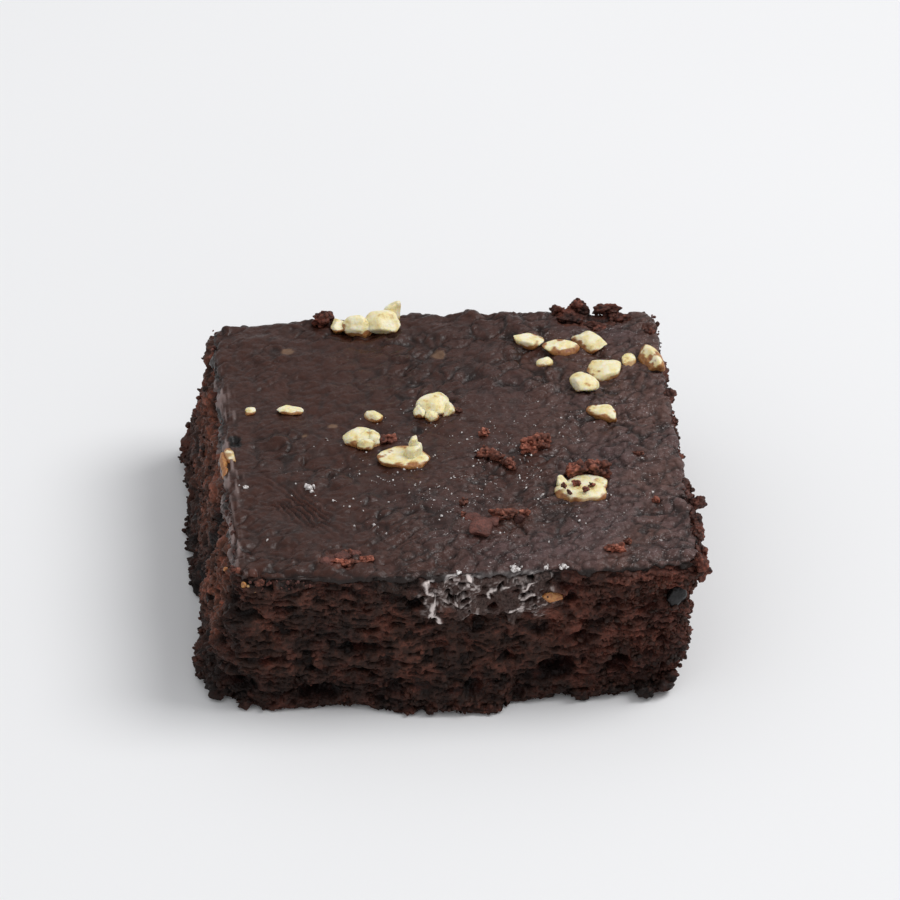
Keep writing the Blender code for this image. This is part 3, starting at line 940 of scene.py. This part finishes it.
def makeUnderside(material):
    # a grid over the base, facing down and pressed flat at z = 0 with shallow pores, under a cap
    across, deep, grid = squareGrid(underside["cells"])
    base, _, _ = shapedBlock(across, deep, np.zeros(len(across)))
    middle = np.array([-cut["lean"] / 2, 0.0, 0.0])
    points = (base - middle) * (underside["share"], underside["share"], 1) + middle
    patch, size, seed = underside["rough"]
    rough = layeredNoise(points / patch, seed)
    points[:, 2] = size * np.clip(rough - 0.1, 0, 1)
    rim = gridRim(grid)
    lid = points[rim] + (0, 0, underside["thick"])
    lidRing = grid.size + np.arange(len(rim))
    down = gridFaces(grid)[:, [0, 3, 2, 1]]
    faceSets = [np.concatenate([down, ringFaces(rim, lidRing)]), lidRing[None]]
    # painted shade: darker in the shallow pores
    height = np.clip(0.55 - 0.8 * rough, 0, 1)
    newPiece("underside", np.concatenate([points, lid]), faceSets, material, {"height": height})


# Lumps: nuts, loose crumbs and grains

def ballGrid(rings, columns):
    # directions of a closed ball: a pole, rings of points and the other pole, with its triangles
    polar = math.pi * np.arange(1, rings) / rings
    turn = 2 * math.pi * np.arange(columns) / columns
    wide, high = np.sin(polar)[:, None], np.cos(polar)[:, None]
    band = np.stack([wide * np.cos(turn), wide * np.sin(turn), high + 0 * turn], axis=-1)
    ways = np.concatenate([[[0.0, 0.0, 1.0]], band.reshape(-1, 3), [[0.0, 0.0, -1.0]]])
    numbers = 1 + np.arange((rings - 1) * columns).reshape(rings - 1, columns)
    last = len(ways) - 1
    quads = np.concatenate([ringFaces(lower, upper) for upper, lower in zip(numbers, numbers[1:])])
    first, end = numbers[0], numbers[-1]
    poleFaces = np.stack([np.zeros(columns, int), first, np.roll(first, -1)], axis=1)
    endFaces = np.stack([np.full(columns, last), np.roll(end, -1), end], axis=1)
    split = np.concatenate([quads[:, [0, 1, 2]], quads[:, [0, 2, 3]]])
    return ways, np.concatenate([poleFaces, split, endFaces])


def repeatedFaces(faces, size, count):
    # the same faces for count balls of size points each
    return (faces[None] + size * np.arange(count)[:, None, None]).reshape(-1, 3)


def placed(body, heading, place):
    # the body's points turned about the vertical by a heading in degrees and moved to a place
    turn = np.array([math.radians(heading)])
    c, s = np.cos(turn), np.sin(turn)
    x, y = body[:, 0] * c - body[:, 1] * s, body[:, 0] * s + body[:, 1] * c
    return np.column_stack([x, y, body[:, 2]]) + place


def mixedSizes(piece, chance, count, power=2):
    # random sizes from the piece's smallest up, of which few are large
    return piece["smallest"] + piece["spread"] * chance.random(count) ** power


def makeGrains(name, places, sizes, seed, material, marks, rings=5, columns=7, least=0.65):
    # one small lump a place: a ball dented by noise, stretched and turned at random
    chance = np.random.default_rng(seed)
    ways, faces = ballGrid(rings, columns)
    count = len(places)
    offset = chance.uniform(0, 60, (count, 1, 3))
    field = (ways[None] * 1.3 + offset).reshape(-1, 3)
    radius = 1 + 0.42 * latticeNoise(field, seed).reshape(count, -1, 1)
    stretch = chance.uniform(least, 1.9 - least, (count, 1, 3))
    turn, _ = np.linalg.qr(chance.normal(size=(count, 3, 3)))
    turn *= np.sign(np.linalg.det(turn))[:, None, None]
    shapes = np.einsum("nij,nkj->nki", turn, ways[None] * radius * stretch) * sizes[:, None, None] / 2
    points = (shapes + places[:, None, :]).reshape(-1, 3)
    values = {key: np.repeat(value, len(ways)) for key, value in marks.items()}
    newPiece(name, points, [repeatedFaces(faces, len(ways), count)], material, values)


grainsOnSides = {
    "count": 3000,
    "smallest": 0.28,
    "spread": 0.55,  # the largest are this much bigger
    "seed": 301,
}


def makeSideGrains(sides, outward, mark, material):
    # grains held on the crests of the torn sides, thickest at the right, at the base and under the skin
    chance = np.random.default_rng(grainsOnSides["seed"])
    x, _, z = sides.T
    weight = 0.10 + 1.6 * smoothStep(10, 30, x) + 0.7 * (1 - smoothStep(1.0, 5.0, z))
    weight += 0.1 * smoothStep(15.5, 18.5, z) * (outward[:, 0] > 0.5) + 0.08 * (1 - smoothStep(-31, -26, x))
    weight *= mark**2 * ((z < crumb["high"] - 0.9) & (z > 0.45))
    picked = chance.choice(len(sides), grainsOnSides["count"], replace=False, p=weight / weight.sum())
    sizes = mixedSizes(grainsOnSides, chance, len(picked), 3)
    places = sides[picked].copy()
    places[:, :2] += outward[picked] * (0.25 * sizes)[:, None]
    places[:, 2] = np.maximum(places[:, 2], 0.62 * sizes)
    height = 0.62 + 0.38 * chance.random(len(picked))
    # painted shade: the grains darker towards the foot
    marks = {"height": height, "dim": 0.7 - 0.7 * smoothStep(1.5, 9.0, places[:, 2])}
    makeGrains("sideGrains", places, sizes, grainsOnSides["seed"], material, marks)


rimGrains = {
    # from and to along the rim (x, y), count, how far they stray across and up
    "lines": (
        ((31.8, -29.0), (31.8, 30.0), 260, 0.40),
        ((20.0, 30.3), (31.0, 30.0), 60, 0.45),
        ((-28.3, -8.0), (-27.0, -28.0), 60, 0.5),
        ((-26.6, -30.4), (-18.0, -31.2), 40, 0.4),
        ((-27.9, 2.0), (-27.9, 29.0), 30, 0.4),
    ),
    "height": 20.1,
    "drop": 0.6,
    "smallest": 0.20,
    "spread": 0.40,
    "seed": 306,
}


def makeRimGrains(material):
    # grains strewn along the broken stretches of the top's rim, just below its edge
    chance = np.random.default_rng(rimGrains["seed"])
    places = []
    for start, end, count, stray in rimGrains["lines"]:
        share = chance.random(count)[:, None]
        spots = np.array(start) + share * (np.array(end) - start)
        clumps = latticeNoise(np.column_stack([spots, np.zeros(count)]) / 1.1, 307)
        kept = clumps > chance.uniform(-0.6, 0.4, count)
        spots = spots[kept] + chance.normal(size=(kept.sum(), 2)) * stray * 0.5
        drop = np.abs(chance.normal(size=len(spots))) * rimGrains["drop"]
        places.append(np.column_stack([spots, rimGrains["height"] - drop]))
    places = np.concatenate(places)
    sizes = mixedSizes(rimGrains, chance, len(places))
    marks = {"height": 0.3 + 0.7 * chance.random(len(places))}
    makeGrains("rimGrains", places, sizes, rimGrains["seed"], material, marks)


crumbHeaps = {
    # x, y, length, width, height, heading, and how far the middle lies above the skin
    "heaps": (
        (13.4, -2.7, 3.6, 2.3, 2.2, 20, 0.75),
        (11.8, -3.4, 1.6, 1.3, 1.2, 20, 0.45),
        (6.2, -3.9, 1.7, 1.4, 1.2, 0, 0.35),
        (7.6, -5.2, 2.2, 1.4, 1.3, -50, 0.4),
        (9.2, -6.9, 2.2, 1.5, 1.2, -30, 0.4),
        (17.7, -10.3, 2.8, 2.0, 2.1, 10, 1.1),
        (20.6, -10.0, 2.8, 2.1, 2.2, -10, 1.1),
        (7.7, -19.4, 3.2, 1.9, 1.4, 12, 0.20),
        (10.2, -18.6, 1.2, 0.9, 0.9, 20, 0.25),
        (2.6, -18.6, 0.9, 0.8, 0.8, 0, 0.3),
        (-6.3, -0.3, 2.0, 1.4, 1.1, 0, 0.35),
        (6.6, 0.7, 1.2, 1.0, 0.9, 0, 0.3),
        (3.6, 6.4, 1.0, 0.6, 0.5, 0, 0.1),
        (-13.0, -25.4, 1.4, 1.0, 0.9, 10, 0.2),
        (-13.6, -28.0, 2.8, 0.9, 0.7, 0, 0.1),
        (-10.8, -27.4, 1.8, 1.0, 0.8, 20, 0.15),
        (21.3, -27.6, 2.1, 1.1, 1.1, 10, 0.35),
        (23.0, -25.8, 0.8, 0.8, 1.0, 10, 0.3),
        (-27.6, -28.6, 1.2, 0.9, 0.7, -20, -0.3),
        (-24.6, -30.9, 1.1, 0.8, 0.8, -20, -0.7),
        (20.6, 28.8, 3.2, 2.4, 0.9, -8, 0.0),
        (23.6, 26.8, 3.2, 1.6, 0.8, -30, 0.0),
        (27.2, 28.4, 3.0, 2.2, 1.3, 0, 0.0),
        (18.9, 30.0, 1.8, 1.3, 1.5, 0, 0.2),
        (22.4, 30.2, 1.6, 1.3, 1.9, 0, 0.2),
        (30.8, 24.0, 1.9, 1.5, 1.2, 60, -0.4),
        (32.0, 9.0, 1.8, 1.4, 1.3, 60, -0.5),
        (-12.9, 29.7, 2.6, 1.8, 1.6, 0, 0.2),
        (33.2, -16.4, 2.0, 1.4, 1.5, 20, -0.5),
        (31.9, -29.6, 1.8, 2.0, 2.0, 0, -1.2),
        (32.2, -29.2, 1.7, 1.6, 2.6, 0, -2.8),
        (32.4, -26.4, 1.5, 2.6, 1.6, 0, -1.1),
        (32.5, -23.0, 1.6, 2.4, 1.8, 0, -1.0),
        (32.3, -19.8, 1.5, 2.6, 1.6, 0, -0.9),
        (21.6, 30.5, 2.6, 1.5, 1.7, 0, 0.30),
        (25.6, 30.3, 3.0, 1.4, 1.4, 0, 0.05),
        (27.6, -16.4, 0.8, 0.7, 0.6, 0, 0.2),
        (26.4, -5.4, 1.1, 0.7, 0.6, 0, 0.1),
        (2.6, -16.0, 1.0, 0.9, 0.9, 0, 0.3),
        (15.8, -14.2, 0.5, 0.5, 0.5, 0, 1.20),
        (17.5, -13.4, 0.9, 0.8, 0.6, 0, 1.30),
        (19.4, -13.9, 0.7, 0.6, 0.5, 0, 1.30),
        (18.5, -15.2, 0.7, 0.5, 0.5, 0, 1.20),
        (16.4, -15.3, 0.5, 0.5, 0.4, 0, 1.15),
    ),
    "rings": 30,
    "columns": 42,
    "uneven": 0.55,  # how far a heap's outline departs from a ball's, as a share
    "grain": 0.46,  # the size of the grains a heap is made of
    "swell": 0.26,  # how far the grains stand out
    "spacing": 0.55,  # the smaller, the more loose grains over a heap's surface
    "smallest": 0.22,
    "spread": 0.40,
    "dimAtBack": 0.80,
    "dimAtRight": 0.75,
    "dimAtCorner": 0.6,
    "seed": 302,
}


def makeHeaps(name, rows, dims, seed, material, rings, columns):
    # x, y, z, length, width, height, heading: each heap is a ball made uneven by noise, then swollen by
    # grains, which are the rounded cells of a lattice, with painted shade in the gaps between them, and
    # dimmed
    ways, faces = ballGrid(rings, columns)
    bodies, heights = [], []
    for index, (x, y, z, length, width, tall, heading) in enumerate(rows):
        uneven = 1 + crumbHeaps["uneven"] * layeredNoise(ways * 1.5 + 5 * index, seed, 2)
        body = ways * uneven[:, None] * (length / 2, width / 2, tall / 2)
        near, _, own = cellDistance(body / crumbHeaps["grain"] + 3 * index, seed + 1)
        swell = np.sqrt(np.clip(1 - (near / 0.78) ** 2, 0, 1))
        body += ways * (crumbHeaps["swell"] * (swell * (0.4 + 0.9 * own) - 0.4))[:, None]
        bodies.append(placed(body, heading, (x, y, z)))
        # painted shade: the height mark is low in the gaps between grains
        heights.append(np.clip(0.05 + 0.85 * swell * (0.45 + 0.65 * own), 0, 1))
    faces = repeatedFaces(faces, len(ways), len(bodies))
    marks = {"height": np.concatenate(heights), "dim": np.repeat(dims, len(ways))}
    newPiece(name, np.concatenate(bodies), [faces], material, marks)


def heapDims(places):
    # how dark the heaps are near the back edge, at the right edge and at the front left corner
    x, y = places[:, 0], places[:, 1]
    back = crumbHeaps["dimAtBack"] * smoothStep(23, 28, y)
    right = crumbHeaps["dimAtRight"] * smoothStep(29.5, 31.0, x)
    corner = crumbHeaps["dimAtCorner"] * ((x < -20) & (y < -28))
    return np.maximum(np.maximum(right, corner), back)


def makeCrumbHeaps(material):
    # the heaps on the skin, and loose grains strewn over them
    chance = np.random.default_rng(crumbHeaps["seed"])
    rows, places = [], []
    for x, y, length, width, tall, heading, lift in crumbHeaps["heaps"]:
        level = skinTop(np.array([[x, y]]))[0] + lift
        rows.append((x, y, level, length, width, tall, heading))
        count = int(3.2 * length * (width + tall) / 2 / crumbHeaps["spacing"])
        ways = chance.normal(size=(count, 3))
        ways /= np.linalg.norm(ways, axis=1)[:, None]
        ways[:, 2] = np.abs(ways[:, 2]) - 0.15
        spots = ways * (np.array([length, width, tall]) / 2) * chance.uniform(0.70, 1.0, count)[:, None]
        places.append(placed(spots, heading, (x, y, level)))
    seed, rings, columns = crumbHeaps["seed"], crumbHeaps["rings"], crumbHeaps["columns"]
    makeHeaps("crumbHeaps", rows, heapDims(np.array(rows)), seed, material, rings, columns)
    places = np.concatenate(places)
    sizes = mixedSizes(crumbHeaps, chance, len(places))
    marks = {"height": 0.35 + 0.6 * chance.random(len(places)), "dim": heapDims(places)}
    makeGrains("looseCrumbs", places, sizes, seed, material, marks)


baseLumps = {
    "count": 90,
    "smallest": 0.6,
    "spread": 1.2,
    "highest": 2.2,  # they sit on the sides below this height
    "seed": 308,
    "left": (
        # y and height of lumps that stand out from the left side, and their size
        (17.0, 13.5, 1.2),
        (9.5, 2.2, 2.4),
        (4.0, 3.4, 2.4),
        (1.0, 8.0, 1.8),
        (-5.2, 5.3, 2.0),
        (-18.0, 9.0, 1.8),
        (-20.5, 5.0, 1.6),
        (12.0, 12.3, 1.4),
    ),
    "front": (
        # x, height and size of lumps along the foot of the front near its corners
        (16.5, 0.8, 2.3),
        (18.8, 0.8, 2.6),
        (21.0, 0.9, 2.4),
        (23.0, 0.8, 2.9),
        (25.2, 0.9, 2.7),
        (27.2, 0.8, 2.9),
        (28.4, 2.2, 2.0),
        (-26.4, 0.8, 2.0),
        (-28.2, 0.9, 2.6),
        (-30.0, 0.9, 2.8),
    ),
}


def makeBaseLumps(sides, outward, material):
    # lumps of crumb round the foot of the sides, and some on the left side and along the front's foot,
    # each at the point of the sides nearest to its own place
    chance = np.random.default_rng(baseLumps["seed"])
    x, y, z = sides.T
    low = np.flatnonzero((z > 0.5) & (z < baseLumps["highest"]))
    picked = chance.choice(low, baseLumps["count"], replace=False)
    sizes = mixedSizes(baseLumps, chance, len(picked))
    sunk = np.full(len(picked), 0.12)
    groups = (("left", y, outward[:, 0] < -0.9, 0.12), ("front", x, outward[:, 1] < -0.35, -0.12))
    for key, along, there, depth in groups:
        for place, up, size in baseLumps[key]:
            nearest = np.where(there, np.hypot(along - place, z - up), 99).argmin()
            picked, sizes = np.append(picked, nearest), np.append(sizes, size)
            sunk = np.append(sunk, depth)
    places = sides[picked].copy()
    places[:, :2] -= outward[picked] * (sunk * sizes)[:, None]
    tall = 0.62 * sizes
    places[:, 2] = np.maximum(places[:, 2], 0.75 * tall)
    headings = chance.uniform(0, 180, len(sizes))
    rows = np.column_stack([places, sizes, 0.8 * sizes, tall, headings])
    # painted shade: the lumps darker towards the foot
    dims = 0.6 * (1 - smoothStep(3.0, 10.0, places[:, 2]))
    makeHeaps("baseLumps", rows, dims, baseLumps["seed"], material, 16, 22)


nuts = {
    "rings": 40,
    "columns": 56,
    "facets": 10,  # planes that cut each ball, and how far they lie from its middle
    "reach": (0.6, 0.9),
    "seed": 100,
    "softness": 0.055,  # rounding of the broken edges
    "dents": ((1.5, 0.050, 111), (4.0, 0.030, 112)),  # how fine, size, seed
    "rimHeight": 0.34,  # how far the brown rim climbs above the skin
    "pieces": (
        # x, y, length, width, thickness, heading, share sunk, brown skin, flatness
        (-10.7, 27.9, 3.0, 3.0, 1.8, 10, 0.35, 0.15, 0.0),
        (-8.3, 27.2, 3.4, 4.2, 3.0, 60, 0.3, 0.1, 0.0),
        (-5.3, 27.6, 4.6, 4.8, 3.3, 20, 0.3, 0.0, 0.0),
        (-3.6, 29.4, 2.4, 1.9, 3.9, 0, 0.25, 0.0, 0.0),
        (0.4, 7.5, 4.8, 4.4, 2.5, 15, 0.35, 0.0, 0.0),
        (-9.9, 0.7, 4.0, 4.3, 2.1, -25, 0.40, 0.1, 0.2),
        (-4.3, -4.6, 7.3, 4.9, 1.5, -2, 0.50, 0.3, 0.9),
        (-3.1, -4.2, 2.7, 2.2, 2.3, 30, 0.10, 0.0, 0.5),
        (-7.6, 5.7, 2.1, 2.6, 1.3, 40, 0.4, 0.1, 0.2),
        (-18.6, 7.9, 3.6, 1.9, 1.0, -12, 0.45, 0.2, 0.1),
        (14.3, 22.5, 4.4, 2.9, 1.9, -24, 0.4, 0.1, 0.3),
        (18.5, 20.4, 5.1, 3.0, 2.0, -4, 0.4, 0.35, 0.3),
        (22.5, 21.8, 5.2, 3.1, 2.0, -52, 0.4, 0.2, 0.3),
        (23.9, 15.2, 4.8, 4.6, 1.6, 55, 0.45, 0.1, 0.6),
        (20.9, 11.9, 4.1, 4.4, 2.0, -10, 0.4, 0.0, 0.3),
        (16.1, 17.1, 2.2, 2.4, 1.5, -20, 0.4, 0.1, 0.2),
        (27.3, 16.6, 3.7, 2.0, 1.3, 80, 0.45, 0.2, 0.3),
        (30.2, 16.9, 6.4, 2.9, 2.9, -72, 0.35, 0.5, 0.2),
        (22.7, 4.5, 4.6, 3.0, 1.9, -34, 0.4, 0.25, 0.3),
        (18.2, -13.4, 7.1, 5.6, 1.7, 2, 0.42, 0.2, 0.8),
        (15.8, -12.0, 1.6, 1.4, 2.2, 2, 0.35, 0.0, 0.0),
        (-1.6, 6.2, 1.6, 3.0, 1.7, 0, 0.35, 0.2, 0.0),
        (2.3, 6.2, 1.8, 3.0, 1.9, -20, 0.35, 0.1, 0.0),
        (0.0, 5.0, 1.9, 1.6, 1.5, 10, 0.35, 0.1, 0.0),
        (-8.1, 0.0, 2.3, 3.5, 1.9, 10, 0.35, 0.1, 0.1),
        (-9.0, -1.3, 2.7, 1.8, 1.8, 0, 0.40, 0.2, 0.0),
        (-3.0, -3.8, 1.7, 1.4, 2.6, 60, -0.12, 0.0, 0.0),
    ),
    "small": (
        # x, y, height of the middle, length, width, thickness, heading, brown skin
        (-23.9, 8.0, 20.6, 1.5, 1.9, 0.8, -30, 0.2),
        (12.8, -31.2, 16.3, 2.6, 1.8, 1.5, 8, 0.9),
        (-27.1, -2.0, 20.2, 1.4, 3.6, 1.3, 12, 0.35),
        (-27.9, -2.6, 19.7, 1.1, 4.2, 1.5, 2, 0.95),
        (-27.8, -5.0, 19.6, 0.9, 2.6, 1.5, -8, 0.8),
        (-28.8, -26.2, 19.1, 0.6, 0.5, 0.5, 20, 0.99),
        (-26.6, -29.9, 19.1, 0.7, 0.5, 0.9, -20, 0.99),
        (-26.1, -30.0, 18.8, 0.5, 0.5, 0.6, 30, 0.5),
        (-25.2, -30.3, 18.4, 0.5, 0.5, 0.5, 10, 0.99),
    ),
}


def cutBall(ways, seed, flatness):
    # a ball cut by random planes, the nearest plane along each direction softened by a smooth minimum,
    # dented, pressed flat on top by its flatness and brought to a box of size 1 about the origin
    chance = np.random.default_rng(seed)
    faces = chance.normal(size=(nuts["facets"], 3))
    faces /= np.linalg.norm(faces, axis=1)[:, None]
    away = chance.uniform(*nuts["reach"], nuts["facets"])
    facing = np.maximum(ways @ faces.T, tiny)
    reach = np.minimum(away / facing, 9.0)
    reach = np.concatenate([reach, np.ones((len(ways), 1))], axis=1)
    soft = nuts["softness"]
    least = reach.min(axis=1)
    radius = least - soft * np.log(np.exp(-(reach - least[:, None]) / soft).sum(axis=1))
    for scale, size, dentSeed in nuts["dents"]:
        radius = radius + size * latticeNoise(ways * radius[:, None] * scale + seed, dentSeed)
    shape = ways * radius[:, None]
    low, high = shape.min(axis=0), shape.max(axis=0)
    shape = (shape - (low + high) / 2) / (high - low)
    shape[:, 2] = shape[:, 2] * (1 - flatness) + flatness * 0.5 * np.tanh(5 * shape[:, 2])
    return shape


def makeChunks(name, rows, seed, material):
    # cut balls at their own places, sizes and headings, whose brown skin grows from below
    ways, faces = ballGrid(nuts["rings"], nuts["columns"])
    bodies, skins = [], []
    for index, (x, y, z, length, width, thick, heading, brown, flatness) in enumerate(rows):
        body = cutBall(ways, seed + index, flatness) * (length, width, thick)
        bodies.append(placed(body, heading, (x, y, z)))
        ragged = 0.5 * layeredNoise((bodies[-1] - (x, y, z)) / 0.9 + index, 113, 2)
        browned = smoothStep(1 - 1.6 * brown, 1.15 - 1.6 * brown, 1 - ways[:, 2] + ragged)
        skins.append(browned * (brown > 0))
    faces = repeatedFaces(faces, len(ways), len(bodies))
    points = np.concatenate(bodies)
    # the rim share rises where a piece meets the skin: on nuts it gives the orange-brown rim, partly browned
    # edge and partly painted contact shade, and on flakes it lowers the height mark as painted contact shade
    above = (points[:, 2] - skinTop(points[:, :2])) / nuts["rimHeight"]
    rim = 0.9 * (1 - smoothStep(0.3, 1.3, above + 0.7 * latticeNoise(points / 0.8, 114)))
    marks = {"brownSkin": np.concatenate(skins), "rim": rim, "height": 0.75 - 0.5 * rim}
    newPiece(name, points, [faces], material, marks)


def makeNuts(material):
    # every chopped nut is sunk in the skin by its share
    rows = []
    for x, y, length, width, thick, heading, sunk, *rest in nuts["pieces"]:
        rows.append((x, y, cut["height"] + thick * (0.5 - sunk), length, width, thick, heading, *rest))
    rows += [(*row, 0.0) for row in nuts["small"]]
    makeChunks("choppedNuts", rows, nuts["seed"], material)


flakes = {
    "seed": 130,
    "pieces": (
        # x, y, height of the middle above the skin, length, width, thickness, heading, brown, flatness
        (4.4, -22.0, 0.12, 3.0, 4.0, 1.1, -14, 0.0, 0.3),
        (5.9, -20.7, 0.20, 2.4, 2.0, 1.3, 28, 0.0, 0.1),
        (3.4, -19.6, 0.05, 2.2, 2.4, 0.9, 50, 0.0, 0.2),
        (9.6, -19.3, 0.22, 1.7, 1.3, 1.1, 10, 0.0, 0.1),
        (-15.6, -27.6, 0.0, 2.4, 2.4, 0.6, -20, 0.0, 0.5),
        (-13.8, -26.6, 0.0, 2.2, 1.6, 0.6, 15, 0.0, 0.4),
        (-12.2, -25.4, 0.0, 1.5, 1.6, 0.6, 40, 0.0, 0.4),
    ),
}


def makeFlakes(material):
    # smooth flat flakes of crumb pressed on the skin
    rows = []
    for x, y, lift, *rest in flakes["pieces"]:
        rows.append((x, y, skinTop(np.array([[x, y]]))[0] + lift, *rest))
    makeChunks("flatFlakes", rows, flakes["seed"], material)


chip = {"seed": 150, "pieces": ((29.1, -29.5, 14.4, 2.9, 1.8, 3.4, 20, 0.0, 0.0),)}


def makeChip(material):
    # a dark glossy chip set in the front near the right corner
    makeChunks("darkChip", chip["pieces"], chip["seed"], material)


sugarAndGlints = {
    "count": 800,
    "middle": (7.0, -7.5),
    "half": (31.0, 21.0),
    "smallest": 0.09,
    "spread": 0.22,
    "seed": 303,
    "bits": (
        # x, y, spread, grains, size
        (-17.0, -10.7, 0.5, 12, 0.5),
        (-25.4, -9.7, 0.45, 14, 0.45),
        (-10.6, 1.8, 0.3, 4, 0.3),
        (1.6, -9.8, 0.3, 4, 0.25),
        (-8.0, -21.6, 0.2, 3, 0.3),
        (-14.0, -13.8, 0.25, 3, 0.25),
        (-23.4, -22.0, 0.3, 3, 0.25),
        (8.2, -30.6, 0.50, 24, 0.42),
        (12.0, -30.7, 0.35, 9, 0.32),
        (14.3, -30.5, 0.4, 14, 0.38),
        (0.8, -30.9, 0.3, 4, 0.35),
    ),
}


def makeSugarAndGlints(material):
    # fine pale flecks, partly sugar grains and partly painted glints, thickest in the middle of the front
    # half, in noisy patches, and a few whiter bits
    chance = np.random.default_rng(sugarAndGlints["seed"])
    tries = chance.uniform(-1, 1, (sugarAndGlints["count"] * 6, 2)) * sugarAndGlints["half"] + sugarAndGlints["middle"]
    flat = np.column_stack([tries, np.zeros(len(tries))])
    inside = bump(np.hypot(*((tries - sugarAndGlints["middle"]) / sugarAndGlints["half"]).T))
    chosen = inside * smoothStep(-0.3, 0.5, layeredNoise(flat / 3.0, 98, 2)) > chance.random(len(tries))
    spots = tries[chosen][: sugarAndGlints["count"]]
    spots = spots[np.abs(spots[:, 0] - 2) < 29]
    sizes = mixedSizes(sugarAndGlints, chance, len(spots), 3)
    for x, y, spread, count, size in sugarAndGlints["bits"]:
        spots = np.concatenate([spots, chance.normal(size=(count, 2)) * spread * 0.6 + (x, y)])
        sizes = np.concatenate([sizes, size * chance.uniform(0.6, 1.2, count)])
    places = np.column_stack([spots, skinTop(spots) + 0.15 * sizes])
    makeGrains("sugarAndGlintFlecks", places, sizes, sugarAndGlints["seed"], material, {}, 4, 6, 0.25)


# Floor, light and camera

stage = {
    "floorHalf": 1.6,  # metres
    "floorCells": 8,
    "floorColour": (0.86, 0.86, 0.865),
    "worldColour": (0.97, 0.98, 1.0),
    "worldStrength": 0.61,
    "keyPower": 11.6,
    "keySize": 0.85,
    "keyPlace": (0.85, 0.10, 1.15),
    "fillPower": 0.4,
    "fillSize": 0.9,
    "fillPlace": (-0.2, -0.7, 0.55),
}
view = {
    "azimuth": -4.60,
    "elevation": 33.68,
    "roll": 0.5,
    "distance": 0.868,
    "focal": 7.230,  # focal length as a share of the picture's width
    "sensor": 36.0,
    "aim": (0.08 * mm, 15.52 * mm),  # the picture's middle, right of and above the base's middle
}


def makeFloor():
    # a wide level grid with the faintest unevenness in its tone
    x, y, grid = squareGrid(stage["floorCells"])
    level = np.full(len(x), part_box("brownie")[0].z)
    points = np.column_stack([x * stage["floorHalf"], y * stage["floorHalf"], level])
    mesh = bpy.data.meshes.new("paleFloor")
    mesh.from_pydata(points.tolist(), [], gridFaces(grid).tolist())
    tone = [value * 0.985 for value in stage["floorColour"]]
    material, tree, shader = newMaterial("paleFloor")
    soft = addNoise(tree, 0.01, 1.0)
    feed(tree, shader, {
        "Base Color": addRamp(tree, soft, (0.3, tone), (0.7, stage["floorColour"])),
        "Roughness": 0.85,
        "Specular IOR Level": 0.2,
    })
    mesh.materials.append(material)
    floor = bpy.data.objects.new("paleFloor", mesh)
    bpy.context.scene.collection.objects.link(floor)


def makeLamp(name, place, size, power):
    # a round lamp, its size in metres and its power in watts, turned towards the origin
    lamp = bpy.data.lights.new(name, "AREA")
    lamp.shape = "DISK"
    lamp.size = size
    lamp.energy = power
    holder = bpy.data.objects.new(name, lamp)
    holder.location = place
    holder.rotation_euler = (-Vector(place)).to_track_quat("-Z", "Y").to_euler()
    bpy.context.scene.collection.objects.link(holder)


def makeLight():
    # an even pale sky, a wide lamp high at the right and a weak one in front
    world = bpy.data.worlds.new("softRoom")
    world.use_nodes = True
    sky = world.node_tree.nodes["Background"]
    sky.inputs["Color"].default_value = (*stage["worldColour"], 1)
    sky.inputs["Strength"].default_value = stage["worldStrength"]
    bpy.context.scene.world = world
    makeLamp("windowLight", stage["keyPlace"], stage["keySize"], stage["keyPower"])
    makeLamp("roomLight", stage["fillPlace"], stage["fillSize"], stage["fillPower"])
    bpy.context.scene.view_settings.view_transform = "Standard"


def makeCamera():
    # the camera looks from azimuth and elevation, rolled a little, at a point set off along its own axes
    azimuth, elevation, roll = [math.radians(view[key]) for key in ("azimuth", "elevation", "roll")]
    turn = Matrix.Rotation(azimuth, 3, "Z") @ Matrix.Rotation(math.pi / 2 - elevation, 3, "X")
    turn = turn @ Matrix.Rotation(roll, 3, "Z")
    middle = Vector((cut["lean"] / 2 + shift[0], shift[1], 0)) * mm
    place = middle + turn @ Vector((*view["aim"], view["distance"]))
    lens = bpy.data.cameras.new("photoView")
    lens.sensor_width = view["sensor"]
    lens.lens = view["focal"] * view["sensor"]
    lens.clip_start, lens.clip_end = 0.01, 20
    camera = bpy.data.objects.new("photoView", lens)
    camera.matrix_world = Matrix.Translation(place) @ turn.to_4x4()
    bpy.context.scene.collection.objects.link(camera)
    bpy.context.scene.camera = camera


print("stage: floor, light and camera")
makeFloor()
makeLight()
makeCamera()

print("brownie: crumb, skin and underside")
crumbFinish = crumbMaterial("tornCrumb", crumbLook)
sides, outward, mark = makeCrumb(crumbFinish)
makeSkin(skinMaterial(skinLook))
makeUnderside(crumbFinish)

print("toppings: grains, loose crumbs, nuts and sugar")
makeSideGrains(sides, outward, mark, crumbFinish)
makeBaseLumps(sides, outward, crumbFinish)
looseFinish = crumbMaterial("looseCrumb", looseLook)
makeCrumbHeaps(looseFinish)
flakeFinish = crumbMaterial("flatFlake", flakeLook)
makeRimGrains(flakeFinish)
makeFlakes(flakeFinish)
makeNuts(nutMaterial(nutLook))
makeChip(speckedMaterial("darkChip", chipLook))
makeSugarAndGlints(speckedMaterial("sugarAndGlintFlecks", sugarAndGlintLook))
